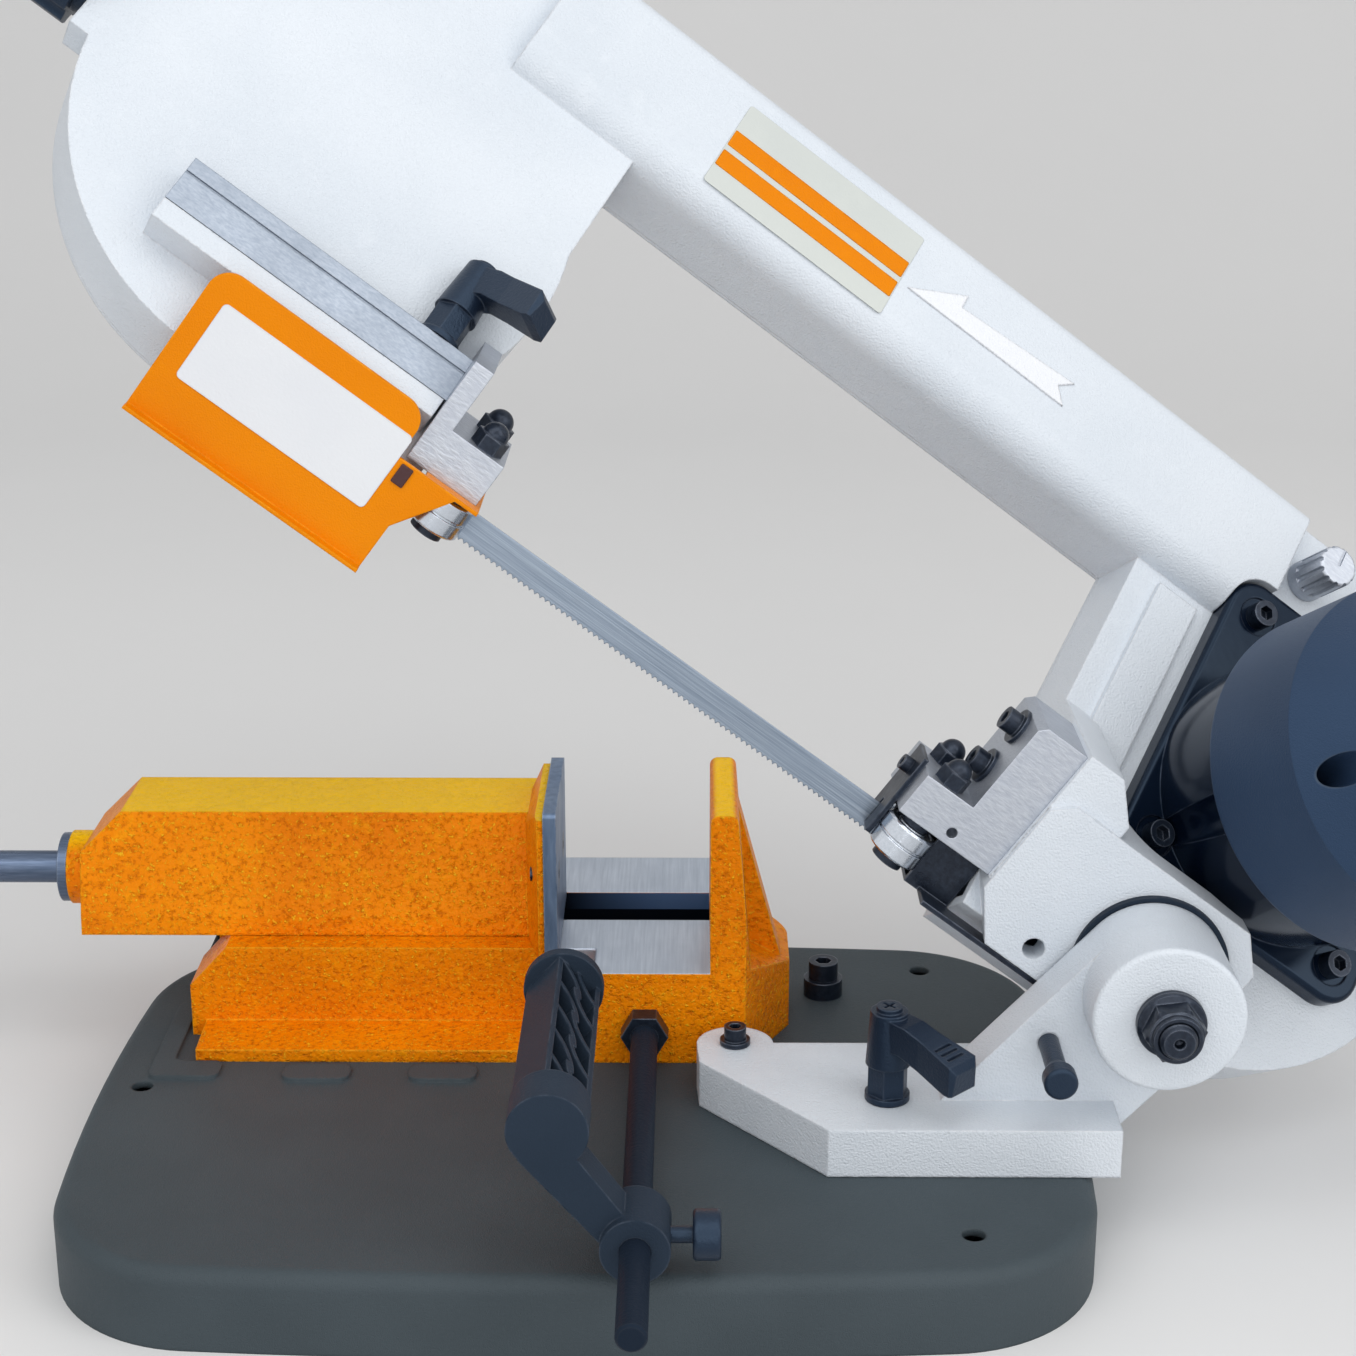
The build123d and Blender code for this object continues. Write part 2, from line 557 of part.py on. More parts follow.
def bow_frame():
    """White casting: two wheel houses open at the back, joined by a hollow beam, with the hinge lug."""
    beam = box((LEFT_WALL - 60, BEAM_END), (BEAM_LOW, BEAM_TOP), (BACK_N, BEAM_FRONT))
    beam = fillet(beam.edges().filter_by(Axis.X).sort_by_distance((-150.0, BEAM_LOW, BEAM_FRONT))[0],
                  BEAM_ROUND)
    beam = fillet(beam.edges().filter_by(Axis.X).sort_by_distance((-150.0, BEAM_TOP, BEAM_FRONT))[0], 6.0)
    frame = grow(left_outline(0.0), "z", (BACK_N, LEFT_FRONT)) + grow(right_outline(0.0), "z",
                                                                      (BACK_N, RIGHT_FRONT))
    frame += beam
    frame += hinge_lug()
    frame += box((RAIL_LEFT, LEFT_GUIDE - 23), (RAIL_LOW - 9, RAIL_LOW - SLIDE_GAP),
                 (LEFT_FRONT - 2, RAIL_BACK + RAIL_THICK))
    frame += box((LEG_WALL + 13, LEG_WALL + 33), (70.0, 158.0), (RIGHT_FRONT - 2, RIGHT_FRONT + 3))
    knock = box((TENSION_U - HEAD_R - 6, TENSION_U - HEAD_R + 12), (WHEEL_V - 20, WHEEL_V + 20),
                (0.0, LEFT_FRONT))
    frame += knock
    frame -= grow(left_outline(WALL), "z", (BACK_N - 1, LEFT_FRONT - WALL))
    frame -= grow(right_outline(WALL), "z", (BACK_N - 1, RIGHT_FRONT - WALL))
    frame -= box((LEFT_WALL - 30, LEG_WALL + 30), (BEAM_LOW + 3, BEAM_TOP - WALL),
                 (BACK_N - 1, BEAM_FRONT - WALL - 6))
    for wall in (LEFT_WALL, LEG_WALL):
        frame -= box((wall - WALL - 2, wall + WALL + 2), (-9.0, 9.0), (-9.0, 9.0))
    frame -= box((TENSION_U - HEAD_R - 8, TENSION_U - 40), (WHEEL_V - 8.5, WHEEL_V + 8.5),
                 (LEFT_FRONT - WALL - CARRIAGE_THICK - 0.6, LEFT_FRONT - WALL + 0.01))
    frame -= rod("x", (TENSION_U - HEAD_R - 8, TENSION_U - HEAD_R + FACE_GAP), STUD_R + SLIDE_GAP, WHEEL_V,
                 LEFT_FRONT - WALL - SLIDE_GAP - CARRIAGE_THICK / 2)
    for u, v, reach in cover_spots():
        frame += rod("z", (BACK_N, reach), 4.5, u, v)
        frame -= rod("z", (BACK_N - 1, BACK_N + 12), 2.0, u, v)
    for u, v in housing_bolts_at():
        frame -= rod("z", (RIGHT_FRONT - WALL - 1, RIGHT_FRONT + 1), HOUSING_BOLT_R, u, v)
    frame -= rod("z", (RIGHT_FRONT - WALL - 1, RIGHT_FRONT + 1), HUB_R + 2, DRIVE_U, WHEEL_V)
    frame -= grow(housing_face(FACE_GAP), "z", (RIGHT_FRONT, COVER_END))
    frame -= rod("z", (RIGHT_FRONT, COVER_END), HOUSING_R + 5, MOTOR_U, MOTOR_V)
    frame -= rod("y", (0.0, RAIL_LOW), STUD_R + RUN_FIT, CLAMP_U, RAIL_MID)
    hub_low = RAIL_LOW + RAIL_WIDE
    frame -= rod("y", (hub_low, hub_low + LEVER_TALL + 4), LEVER_FOOT_R + SLIDE_GAP, CLAMP_U, RAIL_MID)
    frame -= GUIDE_IN_BOW * rod("y", (LUG_FRONT - 1, LUG_FRONT + 21), PIN_R)
    frame -= GUIDE_IN_BOW * rod("y", (LUG_FRONT - 1, LUG_FRONT + 14), LOCK_PIN_R + 0.4,
                                LOCK_PIN_X - HINGE_X,
                                LOCK_PIN_Z - HINGE_Z)
    for w in (22.0, 42.0):
        frame -= GUIDE_IN_BOW * rod("x", (LEG_WALL - 1, LEG_WALL + 20), 3.0, 0.0, w)
    tip, low = (LEFT_WALL + LEG_WALL) / 2 - 13, BEAM_LOW + 28.5
    arrow = ((tip, low), (tip + 24, low + 15), (tip + 24, low + 8.5), (tip + ARROW_LONG, low + 12.5),
             (tip + ARROW_LONG - 6, low + 7), (tip + ARROW_LONG, low))
    frame += prism(arrow, "z", (BEAM_FRONT - 1, BEAM_FRONT + ARROW_HIGH))
    return BOW * frame


def rear_cover():
    """Sheet lid over both wheel houses and the beam."""
    face = left_outline(0.0) + right_outline(0.0) + rect((LEFT_WALL - 20, LEG_WALL + 20),
                                                         (BEAM_LOW, BEAM_TOP))
    lid = grow(face, "z", (BACK_N - COVER_THICK, BACK_N))
    for u, v, _ in cover_spots():
        lid -= rod("z", (BACK_N - COVER_THICK - 1, BACK_N + 1), 2.0, u, v)
    return BOW * lid


def rear_cover_screws():
    seat = BACK_N - COVER_THICK
    screws = []
    for u, v, _ in cover_spots():
        head = rod("z", (seat - 2.2, seat), 4.2, u, v) - box((u - 3.6, u + 3.6), (v - 0.5, v + 0.5),
                                                             (seat - 3, seat - 1.2))
        screws.append(head + rod("z", (seat, BACK_N + 10), 2.0, u, v))
    return BOW * group(screws)


def blade():
    """Welded loop: flat on the wheels, turned on edge between the guides, toothed where it cuts."""
    turn = 90.0 - LEAN
    start, stop = LEFT_GUIDE - 9, RIGHT_GUIDE + 9
    back, tip = BLADE_WIDE / 2, -BLADE_WIDE / 2
    line = [(stop, tip), (stop, back), (start, back), (start, tip)]
    count = int((stop - start - 8) / TOOTH_PITCH)
    for i in range(count):
        u = start + 4 + i * TOOTH_PITCH
        line += [(u, tip), (u + 0.25 * TOOTH_PITCH, tip + TOOTH_DEEP),
                 (u + 0.55 * TOOTH_PITCH, tip + TOOTH_DEEP)]
    line.append((start + 4 + count * TOOTH_PITCH, tip))
    half = BLADE_THICK / 2
    strip = grow(make_face(Polyline(*line, close=True)), "y", (-half, half))
    loop = GUIDE_IN_BOW * Pos(0, 0, -BLADE_DROP) * strip
    for u_wheel, u_guide in ((TENSION_U, start), (DRIVE_U, stop)):
        cuts = []
        for i in range(6):
            a = radians(turn * i / 5)
            place = Plane((u_wheel + (u_guide - u_wheel) * i / 5, 0, 0), x_dir=(0, sin(a), cos(a)),
                          z_dir=(1, 0, 0))
            cuts.append(place * Rectangle(BLADE_WIDE, BLADE_THICK))
        loop += loft(cuts)
    inner, outer = WHEEL_R + RIM_GAP, WHEEL_R + RIM_GAP + BLADE_THICK
    for u, way in ((TENSION_U, -1), (DRIVE_U, 1)):
        bend = ring("z", (tip, back), outer, inner, u, WHEEL_V)
        side = sorted((u, u + way * 200))
        loop += bend & box(side, (-100.0, 300.0), (-50.0, 50.0))
    loop += box((TENSION_U, DRIVE_U), (2 * WHEEL_V - half, 2 * WHEEL_V + half), (tip, back))
    return BOW * loop


def band_wheel(u, bore):
    """Rim with a flange behind the blade, a thin web and a hub."""
    wheel = rod("z", (RIM_BACK, RIM_FRONT), WHEEL_R, u, WHEEL_V)
    wheel += rod("z", (RIM_FRONT - FLANGE_WIDE, RIM_FRONT), WHEEL_R + FLANGE_HIGH, u, WHEEL_V)
    wheel -= rod("z", (RIM_BACK + WEB_THICK, RIM_FRONT + 1), WHEEL_R - RIM_DEEP, u, WHEEL_V)
    wheel += rod("z", (RIM_BACK - 2, 2.0), HUB_R, u, WHEEL_V)
    for i in range(5):
        a = radians(72 * i)
        wheel -= rod("z", (RIM_BACK - 1, RIM_BACK + WEB_THICK + 1), 15.0, u + 48 * cos(a),
                     WHEEL_V + 48 * sin(a))
    return wheel - rod("z", (RIM_BACK - 4, 20.0), bore, u, WHEEL_V)


def drive_wheel():
    return BOW * band_wheel(DRIVE_U, AXLE_R)


def drive_shaft():
    """Gearbox output shaft with the wheel screw and washer on its end."""
    shaft = rod("z", (RIM_BACK - 2, FLANGE_N - 2), AXLE_R, DRIVE_U, WHEEL_V)
    washer = rod("z", (RIM_BACK - 4, RIM_BACK - 2), 12.0, DRIVE_U, WHEEL_V)
    return BOW * (shaft + washer + hexagon("z", (RIM_BACK - 9, RIM_BACK - 4), 13.0, DRIVE_U, WHEEL_V))


def tension_carriage():
    """Plate sliding behind the left face, with the wheel axle and the stud the tension knob draws on."""
    front = LEFT_FRONT - WALL - SLIDE_GAP
    back = front - CARRIAGE_THICK
    left = TENSION_U - HEAD_R
    plate = box((TENSION_U - 30, TENSION_U + 30), (WHEEL_V - 24, WHEEL_V + 24), (back, front))
    tongue = box((left - 5, TENSION_U - 29), (WHEEL_V - 8, WHEEL_V + 8), (back, front))
    mid = (front + back) / 2
    stud = rod("x", (left - 36, left - 4), STUD_R, WHEEL_V, mid)
    axle = rod("z", (RIM_BACK - 7, back + 1), AXLE_R, TENSION_U, WHEEL_V)
    shoulder = rod("z", (2.0 + SLIDE_GAP, back + 1), 13.0, TENSION_U, WHEEL_V)
    return BOW * (plate + tongue + stud + axle + shoulder)


def tension_clip():
    span = (RIM_BACK - 4.5, RIM_BACK - 2 - SLIDE_GAP)
    return BOW * ring("z", span, 12.0, AXLE_R, TENSION_U, WHEEL_V)


def tension_wheel():
    return BOW * band_wheel(TENSION_U, AXLE_R + RUN_FIT)


def tension_knob():
    """Star knob bearing on the end of the left head."""
    face = TENSION_U - HEAD_R - 6 - SLIDE_GAP
    mid = LEFT_FRONT - WALL - SLIDE_GAP - CARRIAGE_THICK / 2
    knob = rod("x", (face - 18, face - 4), 17.0, WHEEL_V, mid) + rod("x", (face - 5, face), 11.0, WHEEL_V,
                                                                     mid)
    for i in range(6):
        a = radians(60 * i)
        knob -= rod("x", (face - 19, face - 4), 4.5, WHEEL_V + 19 * cos(a), mid + 19 * sin(a))
    return BOW * (knob - rod("x", (face - 30, face + 1), STUD_R + RUN_FIT, WHEEL_V, mid))


def gear_housing():
    """Gloss flange and round gear case in front of the right head; closed, so left solid."""
    flange = grow(housing_face(0.0), "z", (RIGHT_FRONT, FLANGE_N))
    flange = fillet(flange.faces().sort_by(Axis.Z)[-1].edges(), 2.5)
    case = Pos(MOTOR_U, MOTOR_V, (FLANGE_N + HOUSING_END) / 2 - 0.5)
    case = case * Cone(HOUSING_R - 2, HOUSING_R + 3, HOUSING_END - FLANGE_N + 1)
    body = flange + case
    body &= box((-300.0, 300.0), (-100.0, 400.0), (RIGHT_FRONT, HOUSING_END))
    body -= rod("z", (RIGHT_FRONT - 1, FLANGE_N - 1.5), AXLE_R + RUN_FIT, DRIVE_U, WHEEL_V)
    for u, v in housing_bolts_at():
        body -= rod("z", (RIGHT_FRONT - 1, HOUSING_END + 1), HOUSING_BOLT_R, u, v)
        body -= rod("z", (FLANGE_N - 1.0, HOUSING_END + 1), 2.4 * HOUSING_BOLT_R, u, v)
    return BOW * body


def gear_housing_bolts():
    seat = FLANGE_N - 1.0
    return BOW * group([cap_screw("z", seat, 1, HOUSING_BOLT_R, 13.0, u, v) for u, v in housing_bolts_at()])


def motor_cover():
    """Matt fan cover with vent slots at its end and four deep screw wells."""
    wide = rod("z", (HOUSING_END, COVER_END - 26), COVER_R, MOTOR_U, MOTOR_V)
    nose = Pos(MOTOR_U, MOTOR_V, COVER_END - 13) * Cone(COVER_R, COVER_R - 16, 26)
    cover = wide + nose
    cover = fillet(cover.edges().filter_by(GeomType.CIRCLE).sort_by(Axis.Z)[0], 3.0)
    for i in range(16):
        turn = Pos(MOTOR_U, MOTOR_V, COVER_END - 6) * Rot(0, 0, 22.5 * i)
        cover -= turn * Pos(34, 0, 4) * Box(20, 4, 14)
    for u, v in cover_wells():
        cover -= rod("z", (HOUSING_END + 22, COVER_END + 1), 6.0, u, v)
        cover -= rod("z", (HOUSING_END - 1, HOUSING_END + 23), 2.2, u, v)
    return BOW * cover


def cover_wells():
    reach = COVER_R - 10.0
    return [(MOTOR_U + reach * cos(radians(t)), MOTOR_V + reach * sin(radians(t))) for t in (45, 135, 225,
                                                                                             315)]


def motor_cover_screws():
    seat = HOUSING_END + 22
    return BOW * group([cap_screw("z", seat, 1, 2.2, 21.5, u, v) for u, v in cover_wells()])


def speed_knob():
    """Small fluted knob on the right head."""
    knob = rod("z", (RIGHT_FRONT + SLIDE_GAP, RIGHT_FRONT + 24), KNOB_R, KNOB_U, KNOB_V)
    knob = fillet(knob.edges().sort_by(Axis.Z)[-1], 1.5)
    for i in range(12):
        a = radians(30 * i + 15)
        knob -= rod("z", (RIGHT_FRONT + 6, RIGHT_FRONT + 30), 1.1, KNOB_U + KNOB_R * cos(a),
                    KNOB_V + KNOB_R * sin(a))
    return BOW * (knob - box((KNOB_U - 0.6, KNOB_U + 0.6), (KNOB_V, KNOB_V + KNOB_R),
                             (RIGHT_FRONT + 23, RIGHT_FRONT + 30)))


def handle_loop(inset):
    u = (TENSION_U - HEAD_R - HANDLE_REACH + inset, TENSION_U - HEAD_R + 70)
    return rect(u, (HANDLE_LOW + inset, HANDLE_LOW + HANDLE_TALL - inset))


def feed_handle():
    """D handle on the free end of the bow, with a slot for the trigger."""
    half = HANDLE_THICK / 2
    face = fillet(handle_loop(0.0).vertices(), 20.0)
    hole = fillet(handle_loop(24.0).vertices(), 10.0)
    loop = grow(face, "z", (-half, half))
    loop = fillet(loop.faces().filter_by(Axis.Z).edges(), 6.0)
    loop -= grow(hole, "z", (-half - 1, half + 1))
    loop -= grow(left_outline(0.0), "z", (-half - 1, half + 1))
    u = TENSION_U - HEAD_R - HANDLE_REACH + 24.0
    mid = HANDLE_LOW + HANDLE_TALL / 2
    gap = SLIDE_GAP
    loop -= box((u - 10, u + 1), (mid - 13 - gap, mid + 13 + gap),
                (-TRIGGER_HALF - gap, TRIGGER_HALF + gap))
    return BOW * loop


def trigger():
    u = TENSION_U - HEAD_R - HANDLE_REACH + 24.0
    mid = HANDLE_LOW + HANDLE_TALL / 2
    key = box((u - 3.5, u + 6), (mid - 13, mid + 13), (-TRIGGER_HALF, TRIGGER_HALF))
    return BOW * fillet(key.edges().filter_by(Axis.Y).group_by(Axis.X)[-1], 3.0)


def right_guide_bracket():
    """Aluminium angle carrying the right pair of rollers."""
    wall = LEG_WALL
    half = (-GUIDE_HALF, GUIDE_HALF)
    foot = box((RIGHT_GUIDE - 11, wall), half, (GUIDE_UNDER, GUIDE_UNDER + GUIDE_FOOT))
    upright = box((wall - BRACKET_THICK, wall), half, (GUIDE_UNDER, 52.0))
    bracket = foot + upright
    for y in (-ROLLER_Y, ROLLER_Y):
        bracket -= rod("z", (GUIDE_UNDER - 1, GUIDE_UNDER + GUIDE_FOOT + 1), ROLLER_PIN_R, RIGHT_GUIDE, y)
    for w in (22.0, 42.0):
        bracket -= rod("x", (wall - BRACKET_THICK - 1, wall + 1), 3.0, 0.0, w)
    bracket -= rod("y", (-GUIDE_HALF - 1, -GUIDE_HALF + 12), 2.2, wall - BRACKET_THICK, GUIDE_UNDER + 5)
    bracket -= rod("x", (RIGHT_GUIDE - 12, RIGHT_GUIDE - 11 + 5), 2.0, 0.0, GUIDE_UNDER + 12)
    bracket = chamfer(bracket.edges().filter_by(Axis.Y).sort_by_distance((wall - BRACKET_THICK, 0.0,
                                                                          52.0))[0], 3.0)
    return GUIDE * bracket


def right_guide_screws():
    seat = LEG_WALL - BRACKET_THICK
    screws = []
    for w in (22.0, 42.0):
        washer = rod("x", (seat - 1.6, seat), 7.5, 0.0, w)
        screws.append(washer + cap_screw("x", seat - 1.6, -1, 3.0, 36.0, 0.0, w))
    return GUIDE * group(screws)


def roller_pins(u, seat):
    """Pins of one pair of rollers: head below, shoulder up to its seat, cap nut above the bracket."""
    low = ROLLER_TOP - ROLLER_HIGH
    top = GUIDE_UNDER + GUIDE_FOOT
    pins = []
    for y in (-ROLLER_Y, ROLLER_Y):
        pin = rod("z", (low - 3.6, top + 2), ROLLER_PIN_R, u, y)
        pin += rod("z", (low - 3.6, low - SLIDE_GAP), 6.5, u, y)
        pin += rod("z", (ROLLER_TOP + SLIDE_GAP, seat), 6.0, u, y)
        dome = Pos(u, y, top + 6) * (Sphere(5.2) & box((-9, 9), (-9, 9), (0, 9)))
        pins.append(pin + hexagon("z", (top, top + 6), 11.5, u, y) + dome)
    return GUIDE * group(pins)


def roller(u, side):
    """Two ball races side by side: a seam between them and a sunk shield on each end."""
    top, low, y = ROLLER_TOP, ROLLER_TOP - ROLLER_HIGH, side * ROLLER_Y
    wheel = chamfer(rod("z", (low, top), ROLLER_R, u, y).edges(), 0.8)
    wheel -= ring("z", ((low + top) / 2 - 0.5, (low + top) / 2 + 0.5), ROLLER_R + 1, ROLLER_R - 0.7, u, y)
    for w in (low, top):
        wheel -= ring("z", (w - 0.6, w + 0.6), 8.6, 6.4, u, y)
    return GUIDE * (wheel - rod("z", (low - 1, top + 1), ROLLER_PIN_R + RUN_FIT, u, y))


def blade_scraper():
    """Thin plate hung on the free face of the right bracket, notched over the blade."""
    face = RIGHT_GUIDE - 11
    plate = box((face - 2, face), (-9.0, 9.0), (-25.0, 12.0))
    plate -= box((face - 3, face + 1), (-1.2, 1.2), (-30.0, -12.5))
    return GUIDE * (plate - rod("x", (face - 3, face + 1), 2.0, 0.0, GUIDE_UNDER + 12))


def scraper_screw():
    return GUIDE * cap_screw("x", RIGHT_GUIDE - 13, -1, 2.0, 6.8, 0.0, GUIDE_UNDER + 12)


def blade_channel():
    """Black trough that takes the blade from the rollers into the right head."""
    span = (RIGHT_GUIDE + ROLLER_R + 1, LEG_WALL - FACE_GAP)
    front = box(span, (-9.0, -7.5), (-31.0, GUIDE_UNDER))
    back = box(span, (7.5, 9.0), (-31.0, GUIDE_UNDER))
    trough = front + back + box(span, (-9.0, 9.0), (-32.5, -31.0))
    lip = box((span[1] - 14, span[1]), (LUG_FRONT + 1, -8.0), (-32.5, -31.0))
    strip = box((span[1] - 14, -18.0), (LUG_FRONT + 1, -13.0), (-32.5, LUG_LOW - FACE_GAP))
    return GUIDE * (trough + lip + strip)


def guide_rail():
    """Flat aluminium rail on the ledge of the left head, slotted for the clamp stud."""
    n = (RAIL_BACK, RAIL_BACK + RAIL_THICK)
    right = LEFT_GUIDE - 14
    rail = box((RAIL_LEFT, right - 8), (RAIL_LOW, RAIL_LOW + RAIL_WIDE), n)
    slot = box((CLAMP_U - 70, CLAMP_U + 4.7), (RAIL_LOW - 1, RAIL_LOW + RAIL_WIDE + 1),
               (RAIL_MID - 4.6, RAIL_MID + 4.6))
    line = box((RAIL_LEFT - 1, right), (RAIL_LOW + 13, RAIL_LOW + 14), (n[1] - 0.8, n[1] + 1))
    return BOW * (rail - slot - line)


def left_guide_bracket():
    """End plate on the rail and the block above the left rollers."""
    right = LEFT_GUIDE - 14
    half = (-GUIDE_HALF, GUIDE_HALF)
    plate = box((right - 8, right), half, (GUIDE_UNDER, 36.0))
    block = box((right - 1, LEFT_GUIDE + 9), half, (GUIDE_UNDER, GUIDE_UNDER + GUIDE_FOOT))
    bracket = plate + block
    for y in (-ROLLER_Y, ROLLER_Y):
        bracket -= rod("z", (GUIDE_UNDER - 1, GUIDE_UNDER + GUIDE_FOOT + 1), ROLLER_PIN_R, LEFT_GUIDE, y)
    head = box((-700.0, LEFT_WALL + FACE_GAP), (-100.0, 300.0), (-60.0, LEFT_FRONT + SLIDE_GAP))
    return GUIDE * (bracket - GUIDE_IN_BOW.inverse() * head)


def blade_guard():
    """Orange sheet in front of the blade, folded back under the left bracket and held by the roller pins."""
    edge = LEFT_WALL + FACE_GAP + 1
    left, low, top = edge - GUARD_LONG, GUARD_LOW, GUARD_LOW + GUARD_TALL
    fold = GUIDE_UNDER - GUARD_THICK
    outline = ((left, low), (edge, low), (edge, fold - 22), (edge + 14, fold), (edge + 14, GUIDE_UNDER),
               (edge - 12, GUIDE_UNDER), (edge - 12, top), (left, top))
    face = make_face(Polyline(*outline, close=True))
    corners = face.vertices().sort_by(Axis.Y)[-2:]
    sheet = grow(fillet(corners, 9.0), "y", (GUARD_FRONT, GUARD_FRONT + GUARD_THICK))
    sheet += box((left, edge), (GUARD_FRONT - GUARD_LIP, GUARD_FRONT + 1), (low, low + GUARD_THICK))
    sheet += box((edge, LEFT_GUIDE + 11), (GUARD_FRONT, GUIDE_HALF), (fold, GUIDE_UNDER))
    for y in (-ROLLER_Y, ROLLER_Y):
        sheet -= rod("z", (fold - 1, GUIDE_UNDER + 1), ROLLER_PIN_R, LEFT_GUIDE, y)
    return GUIDE * sheet


def guide_clamp_lever():
    """Clamp lever whose stud passes the rail slot into the ledge."""
    top = RAIL_LOW + RAIL_WIDE
    stud = rod("y", (RAIL_LOW - 7, top + 2), STUD_R, CLAMP_U, RAIL_MID)
    place = Plane((CLAMP_U, top + SLIDE_GAP, RAIL_MID), x_dir=(1, 0, 1), z_dir=(0, 1, 0)).location
    return BOW * (stud + place * clamp_lever())


def moving_jaw():
    """Orange sliding jaw, hollow underneath over the nut, guided by two tongues in the table slot."""
    low = JAW_UNDER
    front, back = SCREW_Y - JAW_HALF, SCREW_Y + JAW_HALF
    across = ((front - JAW_FLARE, low), (front - JAW_FLARE + 1, low + 8.5), (front, JAW_TOP),
              (back, JAW_TOP),
              (back, low))
    body = prism(across, "x", (JAW_LEFT, PLATE_BACK))
    body -= prism(((JAW_LEFT - 1, JAW_TOP - 18), (JAW_LEFT - 1, JAW_TOP + 1),
                   (JAW_LEFT + 18.5, JAW_TOP + 1)),
                  "y", (front - JAW_FLARE - 1, back + 1))
    plan = ((JAW_BACK, front - JAW_FLARE + 2), (PLATE_BACK - 2.5, PLATE_FRONT + 1),
            (PLATE_BACK, PLATE_FRONT + 1),
            (PLATE_BACK, PLATE_END - 1), (JAW_BACK, PLATE_END - 1))
    head = prism(plan, "z", (low, JAW_HEAD_TOP))
    head -= prism(((JAW_BACK - 1, JAW_TOP - 3), (JAW_BACK - 1, JAW_HEAD_TOP + 1),
                   (PLATE_BACK - 3, JAW_HEAD_TOP + 1)),
                  "y", (PLATE_FRONT - 1, PLATE_END + 1))
    boss = rod("x", (JAW_LEFT - BOSS_OUT, JAW_LEFT + 1), COLLAR_R + 1, SCREW_Y, SCREW_Z)
    jaw = body + head + boss
    gap = SLIDE_GAP
    for y in (SCREW_Y - SLOT_HALF + gap, SCREW_Y + SLOT_HALF - gap - 2.2):
        jaw += box((JAW_LEFT + 55, JAW_BACK), (y, y + 2.2), (TABLE_Z - 10, low + 1))
    inner = SLOT_HALF - gap - 2.2
    jaw -= box((JAW_LEFT + 9, JAW_BACK - 8), (SCREW_Y - inner, SCREW_Y + inner),
               (low - 30, low + TUNNEL_HIGH))
    jaw -= rod("x", (JAW_LEFT - BOSS_OUT - 2, JAW_LEFT + 10), SCREW_R + RUN_FIT, SCREW_Y, SCREW_Z)
    for y in PLATE_SCREWS:
        jaw -= rod("x", (PLATE_BACK - 7, PLATE_BACK + 1), 3.0, y, PLATE_SCREW_Z)
    return jaw


def jaw_plate():
    plate = box((PLATE_BACK, MOVING_FACE), (PLATE_FRONT, PLATE_END), (JAW_UNDER + 1, PLATE_TOP))
    plate = fillet(plate.edges().filter_by(Axis.X).group_by(Axis.Z)[-1], 2.0)
    for y in PLATE_SCREWS:
        plate -= rod("x", (PLATE_BACK - 1, MOVING_FACE + 1), 3.0, y, PLATE_SCREW_Z)
        plate -= Pos(MOVING_FACE - 1.5, y, PLATE_SCREW_Z) * Rot(0, 90, 0) * Cone(3.0, 6.0, 3.0)
    return plate


def jaw_plate_screws():
    screws = []
    tip = PLATE_THICK + 6.5
    screw = rod("z", (-tip, -2.9), 3.0) + Pos(0, 0, -1.5) * Cone(3.0, 6.0, 3.0) - hexagon("z", (-2.0, 1.0), 4.0)
    for y in PLATE_SCREWS:
        screws.append(Pos(MOVING_FACE, y, PLATE_SCREW_Z) * Rot(0, 90, 0) * screw)
    return group(screws)


def vise_screw():
    """Spindle with its thrust collar and the retaining collar inside the jaw."""
    shaft = rod("x", (WHEEL_FACE - 8, JAW_BACK - 22), SCREW_R, SCREW_Y, SCREW_Z)
    collar = rod("x", (COLLAR_FACE - 4, COLLAR_FACE), COLLAR_R, SCREW_Y, SCREW_Z)
    keeper = rod("x", (JAW_LEFT + 9 + SLIDE_GAP, JAW_LEFT + 13), 10.0, SCREW_Y, SCREW_Z)
    return shaft + collar + keeper


def handwheel():
    """Small handwheel on the spindle end: hub, three spokes, round rim and a boss for the grip."""
    x = WHEEL_FACE
    hub = rod("x", (x - 10, x + 10), 13.0, SCREW_Y, SCREW_Z)
    rim = Pos(x, SCREW_Y, SCREW_Z) * Rot(0, 90, 0) * Torus(HANDWHEEL_R - 4, 4)
    wheel = hub + rim
    for i in range(3):
        spoke = box((-3.5, 3.5), (-4.0, 4.0), (4.0, HANDWHEEL_R - 4))
        wheel += Pos(x, SCREW_Y, SCREW_Z) * Rot(120 * i, 0, 0) * spoke
    z = SCREW_Z + HANDWHEEL_R - GRIP_IN
    boss = rod("x", (x - 7, x + 5), 5.5, SCREW_Y, z)
    axle = rod("x", (x - 12 - GRIP_LONG, x), 3.0, SCREW_Y, z)
    head = rod("x", (x - 14 - GRIP_LONG, x - 10.7 - GRIP_LONG), 5.0, SCREW_Y, z)
    return wheel + boss + axle + head - rod("x", (x - 8, x + 11), SCREW_R, SCREW_Y, SCREW_Z)


def handwheel_grip():
    x = WHEEL_FACE
    z = SCREW_Z + HANDWHEEL_R - GRIP_IN
    grip = rod("x", (x - 10 - GRIP_LONG, x - 7.4), GRIP_R, SCREW_Y, z)
    grip = fillet(grip.edges(), 2.5)
    return grip - rod("x", (x - 60 - GRIP_LONG, x), 3.0 + RUN_FIT, SCREW_Y, z)


